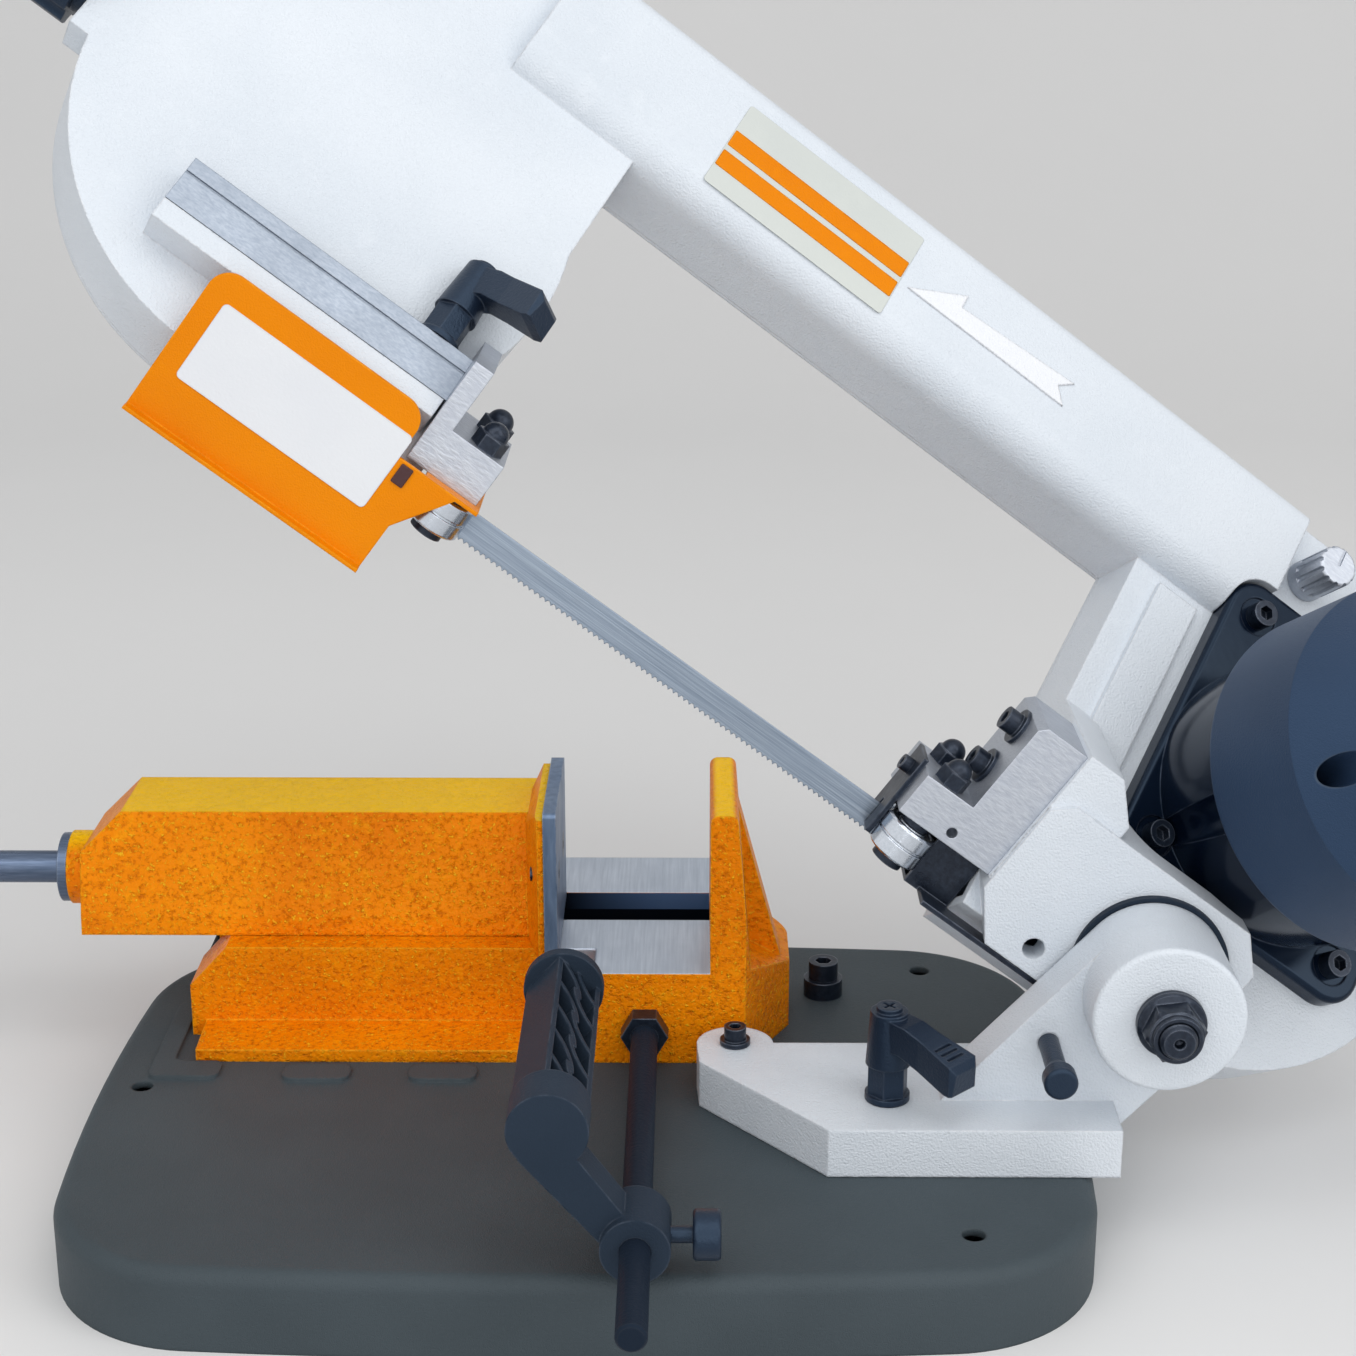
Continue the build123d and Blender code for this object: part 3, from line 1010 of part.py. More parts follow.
def stop_bar(length):
    """Moulded bar in its own frame along -Y: solid on one side, curved ribs on the two open sides."""
    half_x, half_z = STOP_HALF, STOP_HALF - 1.0
    inside = box((-half_x, half_x), (-length, 0.0), (-half_z, half_z))
    bar = box((-half_x, half_x), (-length, 0.0), (-1.5, 1.5))
    for x in (-half_x, half_x - 2.2):
        bar += box((x, x + 2.2), (-length, 0.0), (-half_z, half_z))
    for i in range(int(length / STOP_PITCH) + 1):
        mid = -STOP_PITCH * (i + 0.4)
        for side in (-1, 1):
            bow = ring("z", (-half_z, half_z), STOP_BEND + 0.9, STOP_BEND - 0.9,
                       side * STOP_BEND * 0.88 + side * 2.5, mid + side * STOP_BEND * 0.46)
            near = box((-half_x, half_x), (mid - 13, mid + 13), (-half_z, half_z))
            bar += bow & near & inside
    return bar


def work_stop():
    """Ribbed stop bar with a round stop face, carried on the rod by a swan-neck hub."""
    end = STOP_FACE - STOP_LONG
    face = rod("y", (STOP_FACE - 5, STOP_FACE), STOP_R, STOP_X, STOP_Z)
    stop = face + Pos(STOP_X, STOP_FACE - 4, STOP_Z) * Rot(0, STOP_TURN, 0) * stop_bar(STOP_LONG)
    span = (end - 22, end + 2)
    half = STOP_HALF
    arm = prism(((STOP_X - half, STOP_Z - half), (STOP_X + half, STOP_Z - half), (ROD_X + 8, ROD_Z - 4),
                 (ROD_X - 8, ROD_Z - 4)), "y", (span[0] + 4, span[1] - 4))
    cap = rod("y", (span[0] + 4, end + 1), STOP_R - 1.0, STOP_X, STOP_Z)
    stop += arm + cap + rod("y", span, ROD_R + 7, ROD_X, ROD_Z)
    stop -= rod("y", (span[0] - 1, span[1] + 1), ROD_R + RUN_FIT, ROD_X, ROD_Z)
    mid = (span[0] + span[1]) / 2
    return stop - rod("x", (ROD_X + ROD_R - 1, ROD_X + 30), 3.0, mid, ROD_Z)


def stop_clamp_screw():
    mid = STOP_FACE - STOP_LONG - 10
    start = ROD_X + ROD_R + 0.4
    stem = rod("x", (start, ROD_X + 24), 3.0, mid, ROD_Z)
    knob = rod("x", (ROD_X + 20, ROD_X + 30), 9.0, mid, ROD_Z)
    return stem + fillet(knob.edges(), 1.5)


NODES = {
    "base_pan": base_pan, "vise_bed": vise_bed, "vise_nut": vise_nut, "mitre_stop": mitre_stop,
    "mitre_stop_screw": mitre_stop_screw, "stop_rod": stop_rod, "stop_rod_nut": stop_rod_nut,
    "pivot_screw": pivot_screw, "swivel_arm": swivel_arm, "hinge_bushes": hinge_bushes,
    "swivel_lock_lever": swivel_lock_lever, "bow_lock_pin": bow_lock_pin, "hinge_pin": hinge_pin,
    "hinge_washer": hinge_washer, "hinge_nut": hinge_nut, "hinge_seal": hinge_seal, "bow_frame": bow_frame,
    "rear_cover": rear_cover, "rear_cover_screws": rear_cover_screws, "blade": blade,
    "drive_wheel": drive_wheel, "drive_shaft": drive_shaft, "tension_carriage": tension_carriage,
    "tension_clip": tension_clip, "tension_wheel": tension_wheel, "tension_knob": tension_knob,
    "gear_housing": gear_housing, "gear_housing_bolts": gear_housing_bolts, "motor_cover": motor_cover,
    "motor_cover_screws": motor_cover_screws, "speed_knob": speed_knob, "feed_handle": feed_handle,
    "trigger": trigger, "right_guide_bracket": right_guide_bracket, "right_guide_screws": right_guide_screws,
    "right_roller_pins": lambda: roller_pins(RIGHT_GUIDE, GUIDE_UNDER),
    "left_roller_pins": lambda: roller_pins(LEFT_GUIDE, GUIDE_UNDER - GUARD_THICK),
    "right_front_roller": lambda: roller(RIGHT_GUIDE, -1),
    "right_back_roller": lambda: roller(RIGHT_GUIDE, 1),
    "left_front_roller": lambda: roller(LEFT_GUIDE, -1),
    "left_back_roller": lambda: roller(LEFT_GUIDE, 1),
    "blade_scraper": blade_scraper, "scraper_screw": scraper_screw, "blade_channel": blade_channel,
    "guide_rail": guide_rail, "left_guide_bracket": left_guide_bracket, "blade_guard": blade_guard,
    "guide_clamp_lever": guide_clamp_lever, "moving_jaw": moving_jaw,
    "jaw_plate": jaw_plate, "jaw_plate_screws": jaw_plate_screws, "vise_screw": vise_screw,
    "handwheel": handwheel, "handwheel_grip": handwheel_grip, "work_stop": work_stop,
    "stop_clamp_screw": stop_clamp_screw,
}

os.makedirs("parts", exist_ok=True)
PLACE = Pos(PIVOT_X, PIVOT_Y, BASE_HIGH)
for name, make in NODES.items():
    solids = [PLACE * solid for solid in make().solids()]
    export_step(solids[0] if len(solids) == 1 else Compound(children=solids), f"parts/{name}.step")
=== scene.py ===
# %% [markdown]
# # Bench-top metal cutting band saw
# The saw stands with its bow raised: a toothed blade slopes down between two guides, over an orange cast
# vise on a dark steel pan. The measured model is loaded first and stays as it is. This file gives every
# piece its finish, adds the detail that is too fine for the solids, and sets up floor, light and camera.

# %% Load the measured model
import json
import math

import bmesh
import bpy
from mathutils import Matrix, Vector


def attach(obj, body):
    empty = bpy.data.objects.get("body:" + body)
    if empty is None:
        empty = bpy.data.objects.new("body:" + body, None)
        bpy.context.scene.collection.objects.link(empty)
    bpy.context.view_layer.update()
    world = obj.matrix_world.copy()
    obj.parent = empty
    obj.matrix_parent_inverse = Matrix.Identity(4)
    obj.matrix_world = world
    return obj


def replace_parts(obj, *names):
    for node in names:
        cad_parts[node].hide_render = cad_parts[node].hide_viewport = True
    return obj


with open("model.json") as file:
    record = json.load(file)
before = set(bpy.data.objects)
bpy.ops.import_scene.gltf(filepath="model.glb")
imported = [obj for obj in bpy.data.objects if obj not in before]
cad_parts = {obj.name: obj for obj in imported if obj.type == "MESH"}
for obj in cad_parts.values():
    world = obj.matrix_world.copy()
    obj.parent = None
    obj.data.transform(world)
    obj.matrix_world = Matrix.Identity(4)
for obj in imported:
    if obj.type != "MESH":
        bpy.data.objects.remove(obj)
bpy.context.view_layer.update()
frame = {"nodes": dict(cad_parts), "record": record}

NODES = frame["nodes"]
print("pieces in the model:", len(NODES))

# %% [markdown]
# ## Where things are
# The bow leans back and slopes, so its details are easiest to place in its own directions: along the
# blade, up across the wheels, and out of the wheel faces. The bow's hinge and slope fix these directions,
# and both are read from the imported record, so a piece placed with them always meets the solid.

# %% Directions of the bow
JOINTS = {j["name"]: j for j in frame["record"]["behaviour"]["joints"]}
HINGE = Vector(JOINTS["bow_hinge"]["pos_m"])
ALONG = Vector(JOINTS["guide_slide"]["axis"])
FACING = Vector(JOINTS["blade_drive"]["axis"])
ACROSS = FACING.cross(ALONG)
SQUARE = Vector(JOINTS["roller_right_front_turn"]["axis"])
DEPTH = Vector((0, 1, 0))
BLADE_DROP = 0.0213
BOW_ZERO = HINGE - SQUARE * BLADE_DROP


def on_bow(along, across, out):
    """Point told in millimetres along the blade, across the wheels and out of their faces."""
    return BOW_ZERO + (ALONG * along + ACROSS * across + FACING * out) * 0.001


def on_guide(along, depth, square):
    """Point told in millimetres along the blade, away from the user and square to both."""
    return HINGE + (ALONG * along + DEPTH * depth + SQUARE * square) * 0.001


print("blade slopes", round(math.degrees(math.asin(-ALONG.z)), 1), "degrees")

# %% [markdown]
# ## Shared effects
# Paint, metal and plastic share a few habits: a coat lies unevenly, drawn or ground metal has fine lines,
# and corners show a thin paler edge, rubbed wear on metal and a painted edge highlight on coats and plastics.
# Each habit is a node group that is built once. A group only gives colours, masks and heights; the shader
# itself stays in each material, where an exporter can read it.


# %% Helpers for node trees
def add(tree, kind, place=(0, 0), **settings):
    """New node with its properties set."""
    node = tree.nodes.new(kind)
    node.location = place
    for name, value in settings.items():
        setattr(node, name, value)
    return node


def feed(tree, socket, value):
    """Gives a socket its value: a number, a colour or another socket."""
    if isinstance(value, (int, float)):
        socket.default_value = value
    elif isinstance(value, (tuple, list)):
        socket.default_value = (*value, 1.0)
    else:
        tree.links.new(value, socket)


def math_node(tree, operation, a, b):
    """Math node; a and b are sockets or plain numbers."""
    node = add(tree, "ShaderNodeMath", operation=operation)
    feed(tree, node.inputs[0], a)
    feed(tree, node.inputs[1], b)
    return node.outputs[0]


def xyz(tree, vector):
    """The three numbers of a vector."""
    node = add(tree, "ShaderNodeSeparateXYZ")
    tree.links.new(vector, node.inputs[0])
    return node.outputs["X"], node.outputs["Y"], node.outputs["Z"]


def ramp(tree, value, low, high):
    """Value spread so that low becomes 0 and high becomes 1."""
    node = add(tree, "ShaderNodeMapRange", clamp=True)
    tree.links.new(value, node.inputs["Value"])
    node.inputs["From Min"].default_value = low
    node.inputs["From Max"].default_value = high
    return node.outputs["Result"]


def blend_colour(tree, amount, a, b):
    """Colour between a and b; both are sockets or plain colours."""
    node = add(tree, "ShaderNodeMix", data_type="RGBA")
    for socket, value in ((node.inputs[0], amount), (node.inputs[6], a), (node.inputs[7], b)):
        feed(tree, socket, value)
    return node.outputs[2]


def noise(tree, where, scale, detail=3.0, roughness=0.55):
    """Even noise, about 0.5 in the middle; the scale is a socket or a number."""
    node = add(tree, "ShaderNodeTexNoise")
    feed(tree, node.inputs["Scale"], scale)
    node.inputs["Detail"].default_value = detail
    node.inputs["Roughness"].default_value = roughness
    tree.links.new(where, node.inputs["Vector"])
    return node.outputs["Fac"]


def new_group(name, inputs, outputs):
    """Node group with named sockets; returns the tree, its input node and its output node."""
    tree = bpy.data.node_groups.new(name, "ShaderNodeTree")
    for label, kind, value in inputs:
        socket = tree.interface.new_socket(label, in_out="INPUT", socket_type=kind)
        if value is not None:
            socket.default_value = value
    for label, kind in outputs:
        tree.interface.new_socket(label, in_out="OUTPUT", socket_type=kind)
    return tree, add(tree, "NodeGroupInput", (-900, 0)), add(tree, "NodeGroupOutput", (700, 0))


FLOAT, PLACE = "NodeSocketFloat", "NodeSocketVector"

# %% [markdown]
# A sprayed coat on a rough casting shows three sizes of unevenness: slow colour drift over a hand's width,
# the sand-cast swell beneath, and the fine peel of the paint itself. One group mixes all three.


# %% Group: uneven coat
def build_coat():
    tree, given, out = new_group(
        "UnevenCoat",
        (("Where", PLACE, None), ("Cast Size", FLOAT, 160.0), ("Peel Size", FLOAT, 900.0),
         ("Cast Share", FLOAT, 0.5)),
        (("Drift", FLOAT), ("Height", FLOAT), ("Highlit Lumps", FLOAT)))
    place = given.outputs["Where"]
    drift = noise(tree, place, 14.0, 2.0)
    swell = noise(tree, place, given.outputs["Cast Size"], 4.0, 0.5)
    peel = noise(tree, place, given.outputs["Peel Size"], 1.5, 0.5)
    share = given.outputs["Cast Share"]
    low = math_node(tree, "MULTIPLY", swell, share)
    high = math_node(tree, "MULTIPLY", peel, math_node(tree, "SUBTRACT", 1.0, share))
    tree.links.new(ramp(tree, drift, 0.3, 0.7), out.inputs["Drift"])
    tree.links.new(math_node(tree, "ADD", low, high), out.inputs["Height"])
    # High lumps of the swell: a mask for a painted highlight on raised spots.
    tree.links.new(ramp(tree, swell, 0.56, 0.74), out.inputs["Highlit Lumps"])
    return tree


COAT = build_coat()
print("group", COAT.name)

# %% [markdown]
# Drawn bar, rolled blade stock and ground faces carry fine lines along one direction. Noise squeezed along
# that direction gives them: the place is stretched before the noise reads it.


# %% Group: drawn lines
def build_lines():
    tree, given, out = new_group(
        "DrawnLines",
        (("Where", PLACE, None), ("Stretch", PLACE, (40.0, 1500.0, 1500.0))),
        (("Lines", FLOAT), ("Cloud", FLOAT)))
    scaled = add(tree, "ShaderNodeVectorMath", operation="MULTIPLY")
    tree.links.new(given.outputs["Where"], scaled.inputs[0])
    tree.links.new(given.outputs["Stretch"], scaled.inputs[1])
    tree.links.new(noise(tree, scaled.outputs[0], 1.0, 3.0, 0.6), out.inputs["Lines"])
    tree.links.new(ramp(tree, noise(tree, given.outputs["Where"], 45.0, 3.0), 0.3, 0.7), out.inputs["Cloud"])
    return tree


LINES = build_lines()
print("group", LINES.name)

# %% [markdown]
# The outer corners of a part are painted a little paler or brighter: on metal this is rubbed wear, on coats and
# plastics a painted edge highlight. Where the normal of a slightly rounded corner leaves the flat one, there is
# an edge; noise breaks the line so that it isn't drawn by ruler.


# %% Group: rubbed edge and painted edge highlight
def build_edge():
    tree, given, out = new_group(
        "WearAndHighlightEdge", (("Where", PLACE, None), ("Break", FLOAT, 0.5)), (("Mask", FLOAT),))
    soft = add(tree, "ShaderNodeBevel", samples=6)
    soft.inputs["Radius"].default_value = 0.0012
    flat = add(tree, "ShaderNodeNewGeometry")
    turn = add(tree, "ShaderNodeVectorMath", operation="DOT_PRODUCT")
    tree.links.new(soft.outputs["Normal"], turn.inputs[0])
    tree.links.new(flat.outputs["Normal"], turn.inputs[1])
    edge = ramp(tree, math_node(tree, "SUBTRACT", 1.0, turn.outputs["Value"]), 0.02, 0.16)
    gaps = noise(tree, given.outputs["Where"], 120.0, 4.0)
    kept = ramp(tree, math_node(tree, "SUBTRACT", gaps, given.outputs["Break"]), -0.12, 0.10)
    tree.links.new(math_node(tree, "MULTIPLY", edge, kept), out.inputs["Mask"])
    return tree


EDGE = build_edge()
print("group", EDGE.name)

# %% [markdown]
# ## Finishes
# Every material starts the same way: a place on the piece, the shared groups, then one shader. Constants
# such as coat or sheen sit on the shader's own sockets, and only what changes over the surface is linked.


# %% Start of a material
def start(name):
    """Material with its shader, output and the place on the piece."""
    mat = bpy.data.materials.new(name)
    mat.use_nodes = True
    tree = mat.node_tree
    shader = tree.nodes["Principled BSDF"]
    where = add(tree, "ShaderNodeTexCoord", (-1200, 0)).outputs["Object"]
    return mat, tree, shader, where


def place_group(tree, group, where, **values):
    node = add(tree, "ShaderNodeGroup", (-700, 0), node_tree=group)
    tree.links.new(where, node.inputs["Where"])
    for label, value in values.items():
        node.inputs[label.replace("_", " ")].default_value = value
    return node


def bump(tree, shader, height, distance, strength=1.0, radius=None):
    """Height to the shader's normal; with a radius, corners are softened first."""
    node = add(tree, "ShaderNodeBump", (-200, -300))
    node.inputs["Distance"].default_value = distance
    node.inputs["Strength"].default_value = strength
    tree.links.new(height, node.inputs["Height"])
    if radius:
        soft = add(tree, "ShaderNodeBevel", (-450, -450), samples=6)
        soft.inputs["Radius"].default_value = radius
        tree.links.new(soft.outputs["Normal"], node.inputs["Normal"])
    tree.links.new(node.outputs["Normal"], shader.inputs["Normal"])


def rough_between(tree, shader, value, low, high):
    """Roughness that follows a value between two limits."""
    node = add(tree, "ShaderNodeMapRange", (-200, -100), clamp=True)
    tree.links.new(value, node.inputs["Value"])
    node.inputs["To Min"].default_value = low
    node.inputs["To Max"].default_value = high
    tree.links.new(node.outputs["Result"], shader.inputs["Roughness"])


# %% [markdown]
# ### Coated castings and sheet
# The bow is a smooth white coat with a faint peel. The vise is coated straight over a rough sand casting,
# so its coat is lumpy, with painted shade in the hollows and painted glints and highlights on the high spots.


# %% Coats
def coat(name, high, low, cast, peel, share, deep, rough, edge, radius, shine=0.5, raised=None):
    mat, tree, shader, where = start(name)
    film = place_group(tree, COAT, where, Cast_Size=cast, Peel_Size=peel, Cast_Share=share)
    rub_and_sheen = place_group(tree, EDGE, where, Break=0.5)
    base = blend_colour(tree, film.outputs["Drift"], low, high)
    # High lumps are painted towards the pale tone: a painted highlight.
    lumps_highlit = blend_colour(tree, math_node(tree, "MULTIPLY", film.outputs["Highlit Lumps"], 0.5), base, high)
    if raised:
        lumps_highlit = blend_colour(tree, above(tree, where, *raised), lumps_highlit, edge)
    # Corners take the edge colour; where it is paler than the coat, this is a painted edge highlight.
    tree.links.new(blend_colour(tree, rub_and_sheen.outputs["Mask"], lumps_highlit, edge), shader.inputs["Base Color"])
    rough_between(tree, shader, film.outputs["Height"], *rough)
    shader.inputs["Specular IOR Level"].default_value = shine
    bump(tree, shader, film.outputs["Height"], deep, 1.0, radius)
    return mat


def above(tree, where, out, across):
    """Mask of what stands further out than one plane of the bow and further across than another."""
    mask = None
    for way, limit in ((FACING, out), (ACROSS, across)):
        dot = add(tree, "ShaderNodeVectorMath", operation="DOT_PRODUCT")
        tree.links.new(where, dot.inputs[0])
        dot.inputs[1].default_value = way
        far = math_node(tree, "GREATER_THAN", dot.outputs["Value"], way.dot(BOW_ZERO) + limit * 0.001)
        mask = far if mask is None else math_node(tree, "MULTIPLY", mask, far)
    return mask


PALE, SHADE = (0.70, 0.745, 0.80), (0.64, 0.69, 0.75)
ARROW_MASK = (25.3, 100.0)
WHITE = coat("white coat", PALE, SHADE, 110.0, 1100.0, 0.35, 0.0006, (0.26, 0.40), (0.80, 0.82, 0.86), 0.0014,
             0.35, ARROW_MASK)
ORANGE_SHEET = coat("orange sheet coat", (0.80, 0.245, 0.001), (0.73, 0.205, 0.001), 200.0, 1500.0, 0.2, 0.0003,
                    (0.26, 0.36), (0.95, 0.36, 0.01), 0.0010, 0.08)
PAN = coat("dark pan coat", (0.052, 0.070, 0.082), (0.041, 0.056, 0.066), 700.0, 2200.0, 0.4, 0.0005,
           (0.50, 0.68), (0.070, 0.088, 0.098), 0.0020, 0.3)
print("coats:", WHITE.name, ORANGE_SHEET.name, PAN.name)

# %% [markdown]
# The vise castings are painted golden on their level tops, a painted highlight of the light from above, and
# deep orange on their sides, where grains of the sand mould show through. The facing of the surface says which
# of the two it is.


# %% Rough orange casting
LEVEL = 0.98
GOLD_FROM = 0.09
CAST_SHINE, CAST_ROUGH, CAST_DEEP, CAST_CORNER = 0.07, (0.24, 0.46), 0.0012, 0.0016


def between(tree, value, low, high):
    """Mask of a value that lies between two limits."""
    return math_node(tree, "MULTIPLY", math_node(tree, "GREATER_THAN", value, low),
                     math_node(tree, "LESS_THAN", value, high))


def all_of(tree, *masks):
    """Mask where every one of these holds."""
    both = masks[0]
    for mask in masks[1:]:
        both = math_node(tree, "MULTIPLY", both, mask)
    return both


def cast_coat(tree, where):
    """Colour and height of the lumpy coat: drift, pits with painted shade, grains with painted glints, painted
    highlights on high lumps and level tops, and corners.
    """
    film = place_group(tree, COAT, where, Cast_Size=170.0, Peel_Size=620.0, Cast_Share=0.55)
    rub_and_sheen = place_group(tree, EDGE, where, Break=0.40)
    # Pits are painted dark brown-orange: painted shade in the hollows.
    shaded_pits = ramp(tree, noise(tree, where, 420.0, 3.0, 0.7), 0.52, 0.70)
    # Grains are painted golden: painted glints of the coat's sparkle.
    glint_grains = ramp(tree, noise(tree, where, 640.0, 2.0, 0.6), 0.58, 0.70)
    base = blend_colour(tree, film.outputs["Drift"], (0.76, 0.175, 0.0005), (0.96, 0.28, 0.001))
    deep = blend_colour(tree, math_node(tree, "MULTIPLY", shaded_pits, 0.6), base, (0.46, 0.085, 0.0005))
    # High lumps are painted lighter: a painted highlight.
    lump_highlight = math_node(tree, "MULTIPLY", film.outputs["Highlit Lumps"], 0.4)
    with_lump_highlight = blend_colour(tree, lump_highlight, deep, (1.0, 0.40, 0.003))
    with_glints = blend_colour(tree, math_node(tree, "MULTIPLY", glint_grains, 0.8), with_lump_highlight, (1.0, 0.56, 0.02))
    # Level tops above the table height are painted golden: a painted highlight of the light from above.
    facing_up = xyz(tree, add(tree, "ShaderNodeNewGeometry").outputs["Normal"])[2]
    upper = math_node(tree, "GREATER_THAN", xyz(tree, where)[2], GOLD_FROM)
    thick_and_top_light = math_node(tree, "MULTIPLY", ramp(tree, facing_up, 0.70, LEVEL), 0.9)
    top_highlit = blend_colour(tree, math_node(tree, "MULTIPLY", thick_and_top_light, upper), with_glints, (1.0, 0.60, 0.001))
    # Corners are painted bright yellow-orange: a painted edge highlight.
    wear_and_edge_light = math_node(tree, "MULTIPLY", rub_and_sheen.outputs["Mask"], 0.8)
    colour = blend_colour(tree, wear_and_edge_light, top_highlit, (1.0, 0.50, 0.02))
    swell = math_node(tree, "SUBTRACT", film.outputs["Height"], math_node(tree, "MULTIPLY", shaded_pits, 0.3))
    return colour, math_node(tree, "ADD", swell, math_node(tree, "MULTIPLY", glint_grains, 0.25)), film


def jaw_casting(name):
    mat, tree, shader, where = start(name)
    colour, height, film = cast_coat(tree, where)
    tree.links.new(colour, shader.inputs["Base Color"])
    shader.inputs["Specular IOR Level"].default_value = CAST_SHINE
    rough_between(tree, shader, film.outputs["Height"], *CAST_ROUGH)
    bump(tree, shader, height, CAST_DEEP, 1.0, CAST_CORNER)
    return mat


JAW_CAST = jaw_casting("rough orange casting")
print("casting:", JAW_CAST.name)

# %% [markdown]
# The bed is the same casting, with its table and the step beside it ground bright after coating. Its slot is
# painted with shade: dark inside, with a pale blue painted reflection on the upper far wall that fades into
# painted shadow towards the left. They are found from height, place and normal, so one material serves the
# whole piece.

# %% Bed with its ground table
TABLE_HIGH = 0.0725
MOUNTS = {m["name"]: Vector(m["pos_m"]) for m in frame["record"]["mounts"]}
FIXED_JAW_X = MOUNTS["fixed_jaw_face"].x
SCREW_Y = Vector(JOINTS["vise_turn"]["pos_m"]).y
SLOT_HALF, SLOT_DEEP, WALL_DEEP = 0.0151, 0.0208, 0.0079
SLIDE_HALF = 0.032
OPEN_LEFT, FAR_LEFT = FIXED_JAW_X - 0.0665, -1.0
STEP_X, STEP_Y, STEP_DEEP = FIXED_JAW_X - 0.0475, SCREW_Y - 0.045, 0.008
NEAR = 0.0008


def bed_casting(name):
    mat, tree, shader, where = start(name)
    colour, height, film = cast_coat(tree, where)
    x, y, z = xyz(tree, where)
    _, facing_back, facing_up = xyz(tree, add(tree, "ShaderNodeNewGeometry").outputs["True Normal"])
    level = math_node(tree, "GREATER_THAN", facing_up, LEVEL)
    front = math_node(tree, "LESS_THAN", facing_back, -0.9)
    flat = all_of(tree, level, between(tree, z, TABLE_HIGH - NEAR, TABLE_HIGH + NEAR))
    open_part = between(tree, x, OPEN_LEFT, FIXED_JAW_X + 0.001)
    slideway = all_of(tree, between(tree, x, FAR_LEFT, FIXED_JAW_X),
                      between(tree, y, SCREW_Y - SLIDE_HALF, SCREW_Y + SLIDE_HALF))
    table = all_of(tree, flat, math_node(tree, "MAXIMUM", open_part, slideway))
    step = all_of(tree, front, between(tree, x, OPEN_LEFT, STEP_X),
                  between(tree, y, STEP_Y - 0.001, STEP_Y + 0.001),
                  between(tree, z, TABLE_HIGH - STEP_DEEP, TABLE_HIGH + NEAR))
    ground = math_node(tree, "MAXIMUM", table, step)
    # The whole inside of the slot is painted dark: painted shade.
    dark = all_of(tree, between(tree, y, SCREW_Y - SLOT_HALF, SCREW_Y + SLOT_HALF),
                  between(tree, z, TABLE_HIGH - SLOT_DEEP, TABLE_HIGH - 0.0002),
                  between(tree, x, FAR_LEFT, FIXED_JAW_X + 0.0002))
    lines = place_group(tree, LINES, where, Stretch=(900.0, 30.0, 900.0))
    streak = ramp(tree, lines.outputs["Lines"], 0.3, 0.7)
    steel = blend_colour(tree, streak, (0.46, 0.52, 0.61), (0.60, 0.66, 0.75))
    cloud = math_node(tree, "MULTIPLY", lines.outputs["Cloud"], 0.3)
    wear_and_edge_light = blend_colour(tree, cloud, steel, (0.36, 0.42, 0.51))
    # The upper far wall of the slot is painted pale blue as a painted reflection, fading into painted shadow
    # towards the left.
    shallow = math_node(tree, "GREATER_THAN", z, TABLE_HIGH - WALL_DEEP)
    far_wall_painted_light = all_of(tree, front, shallow, ramp(tree, x, FIXED_JAW_X - 0.064, FIXED_JAW_X - 0.020))
    slot_painted_shade = blend_colour(tree, far_wall_painted_light, (0.004, 0.006, 0.011), (0.080, 0.150, 0.300))
    coat_and_slot_shade = blend_colour(tree, dark, colour, slot_painted_shade)
    tree.links.new(blend_colour(tree, ground, coat_and_slot_shade, wear_and_edge_light), shader.inputs["Base Color"])
    tree.links.new(math_node(tree, "MULTIPLY", ground, 0.85), shader.inputs["Metallic"])
    shader.inputs["Specular IOR Level"].default_value = CAST_SHINE
    rough_between(tree, shader, film.outputs["Height"], *CAST_ROUGH)
    kept = math_node(tree, "SUBTRACT", 1.0, math_node(tree, "MAXIMUM", ground, dark))
    bump(tree, shader, math_node(tree, "MULTIPLY", height, kept), CAST_DEEP, 1.0, CAST_CORNER)
    return mat


BED_CAST = bed_casting("orange casting with ground table")
print("bed:", BED_CAST.name)

# %% [markdown]
# ### Metals
# Bright steel, blackened steel, blade stock and sawn alloy differ in colour, line direction and roughness.
# The lines run along the piece: along the blade for the band, along the screw for turned parts.


# %% Metals
def metal(name, pale, dark, stretch, rough, deep=0.00012, metallic=1.0, edge=None, radius=0.0006, turn=None):
    mat, tree, shader, where = start(name)
    if turn is not None:
        spin = add(tree, "ShaderNodeVectorRotate", rotation_type="Y_AXIS")
        spin.inputs["Angle"].default_value = turn
        tree.links.new(where, spin.inputs["Vector"])
        where = spin.outputs["Vector"]
    lines = place_group(tree, LINES, where, Stretch=stretch)
    streak = ramp(tree, lines.outputs["Lines"], 0.32, 0.68)
    base = blend_colour(tree, streak, dark, pale)
    cloudy = blend_colour(tree, math_node(tree, "MULTIPLY", lines.outputs["Cloud"], 0.25), base, dark)
    if edge:
        rub_and_sheen = place_group(tree, EDGE, where, Break=0.45)
        cloudy = blend_colour(tree, rub_and_sheen.outputs["Mask"], cloudy, edge)
    tree.links.new(cloudy, shader.inputs["Base Color"])
    shader.inputs["Metallic"].default_value = metallic
    rough_between(tree, shader, lines.outputs["Cloud"], *rough)
    bump(tree, shader, lines.outputs["Lines"], deep, 0.8, radius)
    return mat


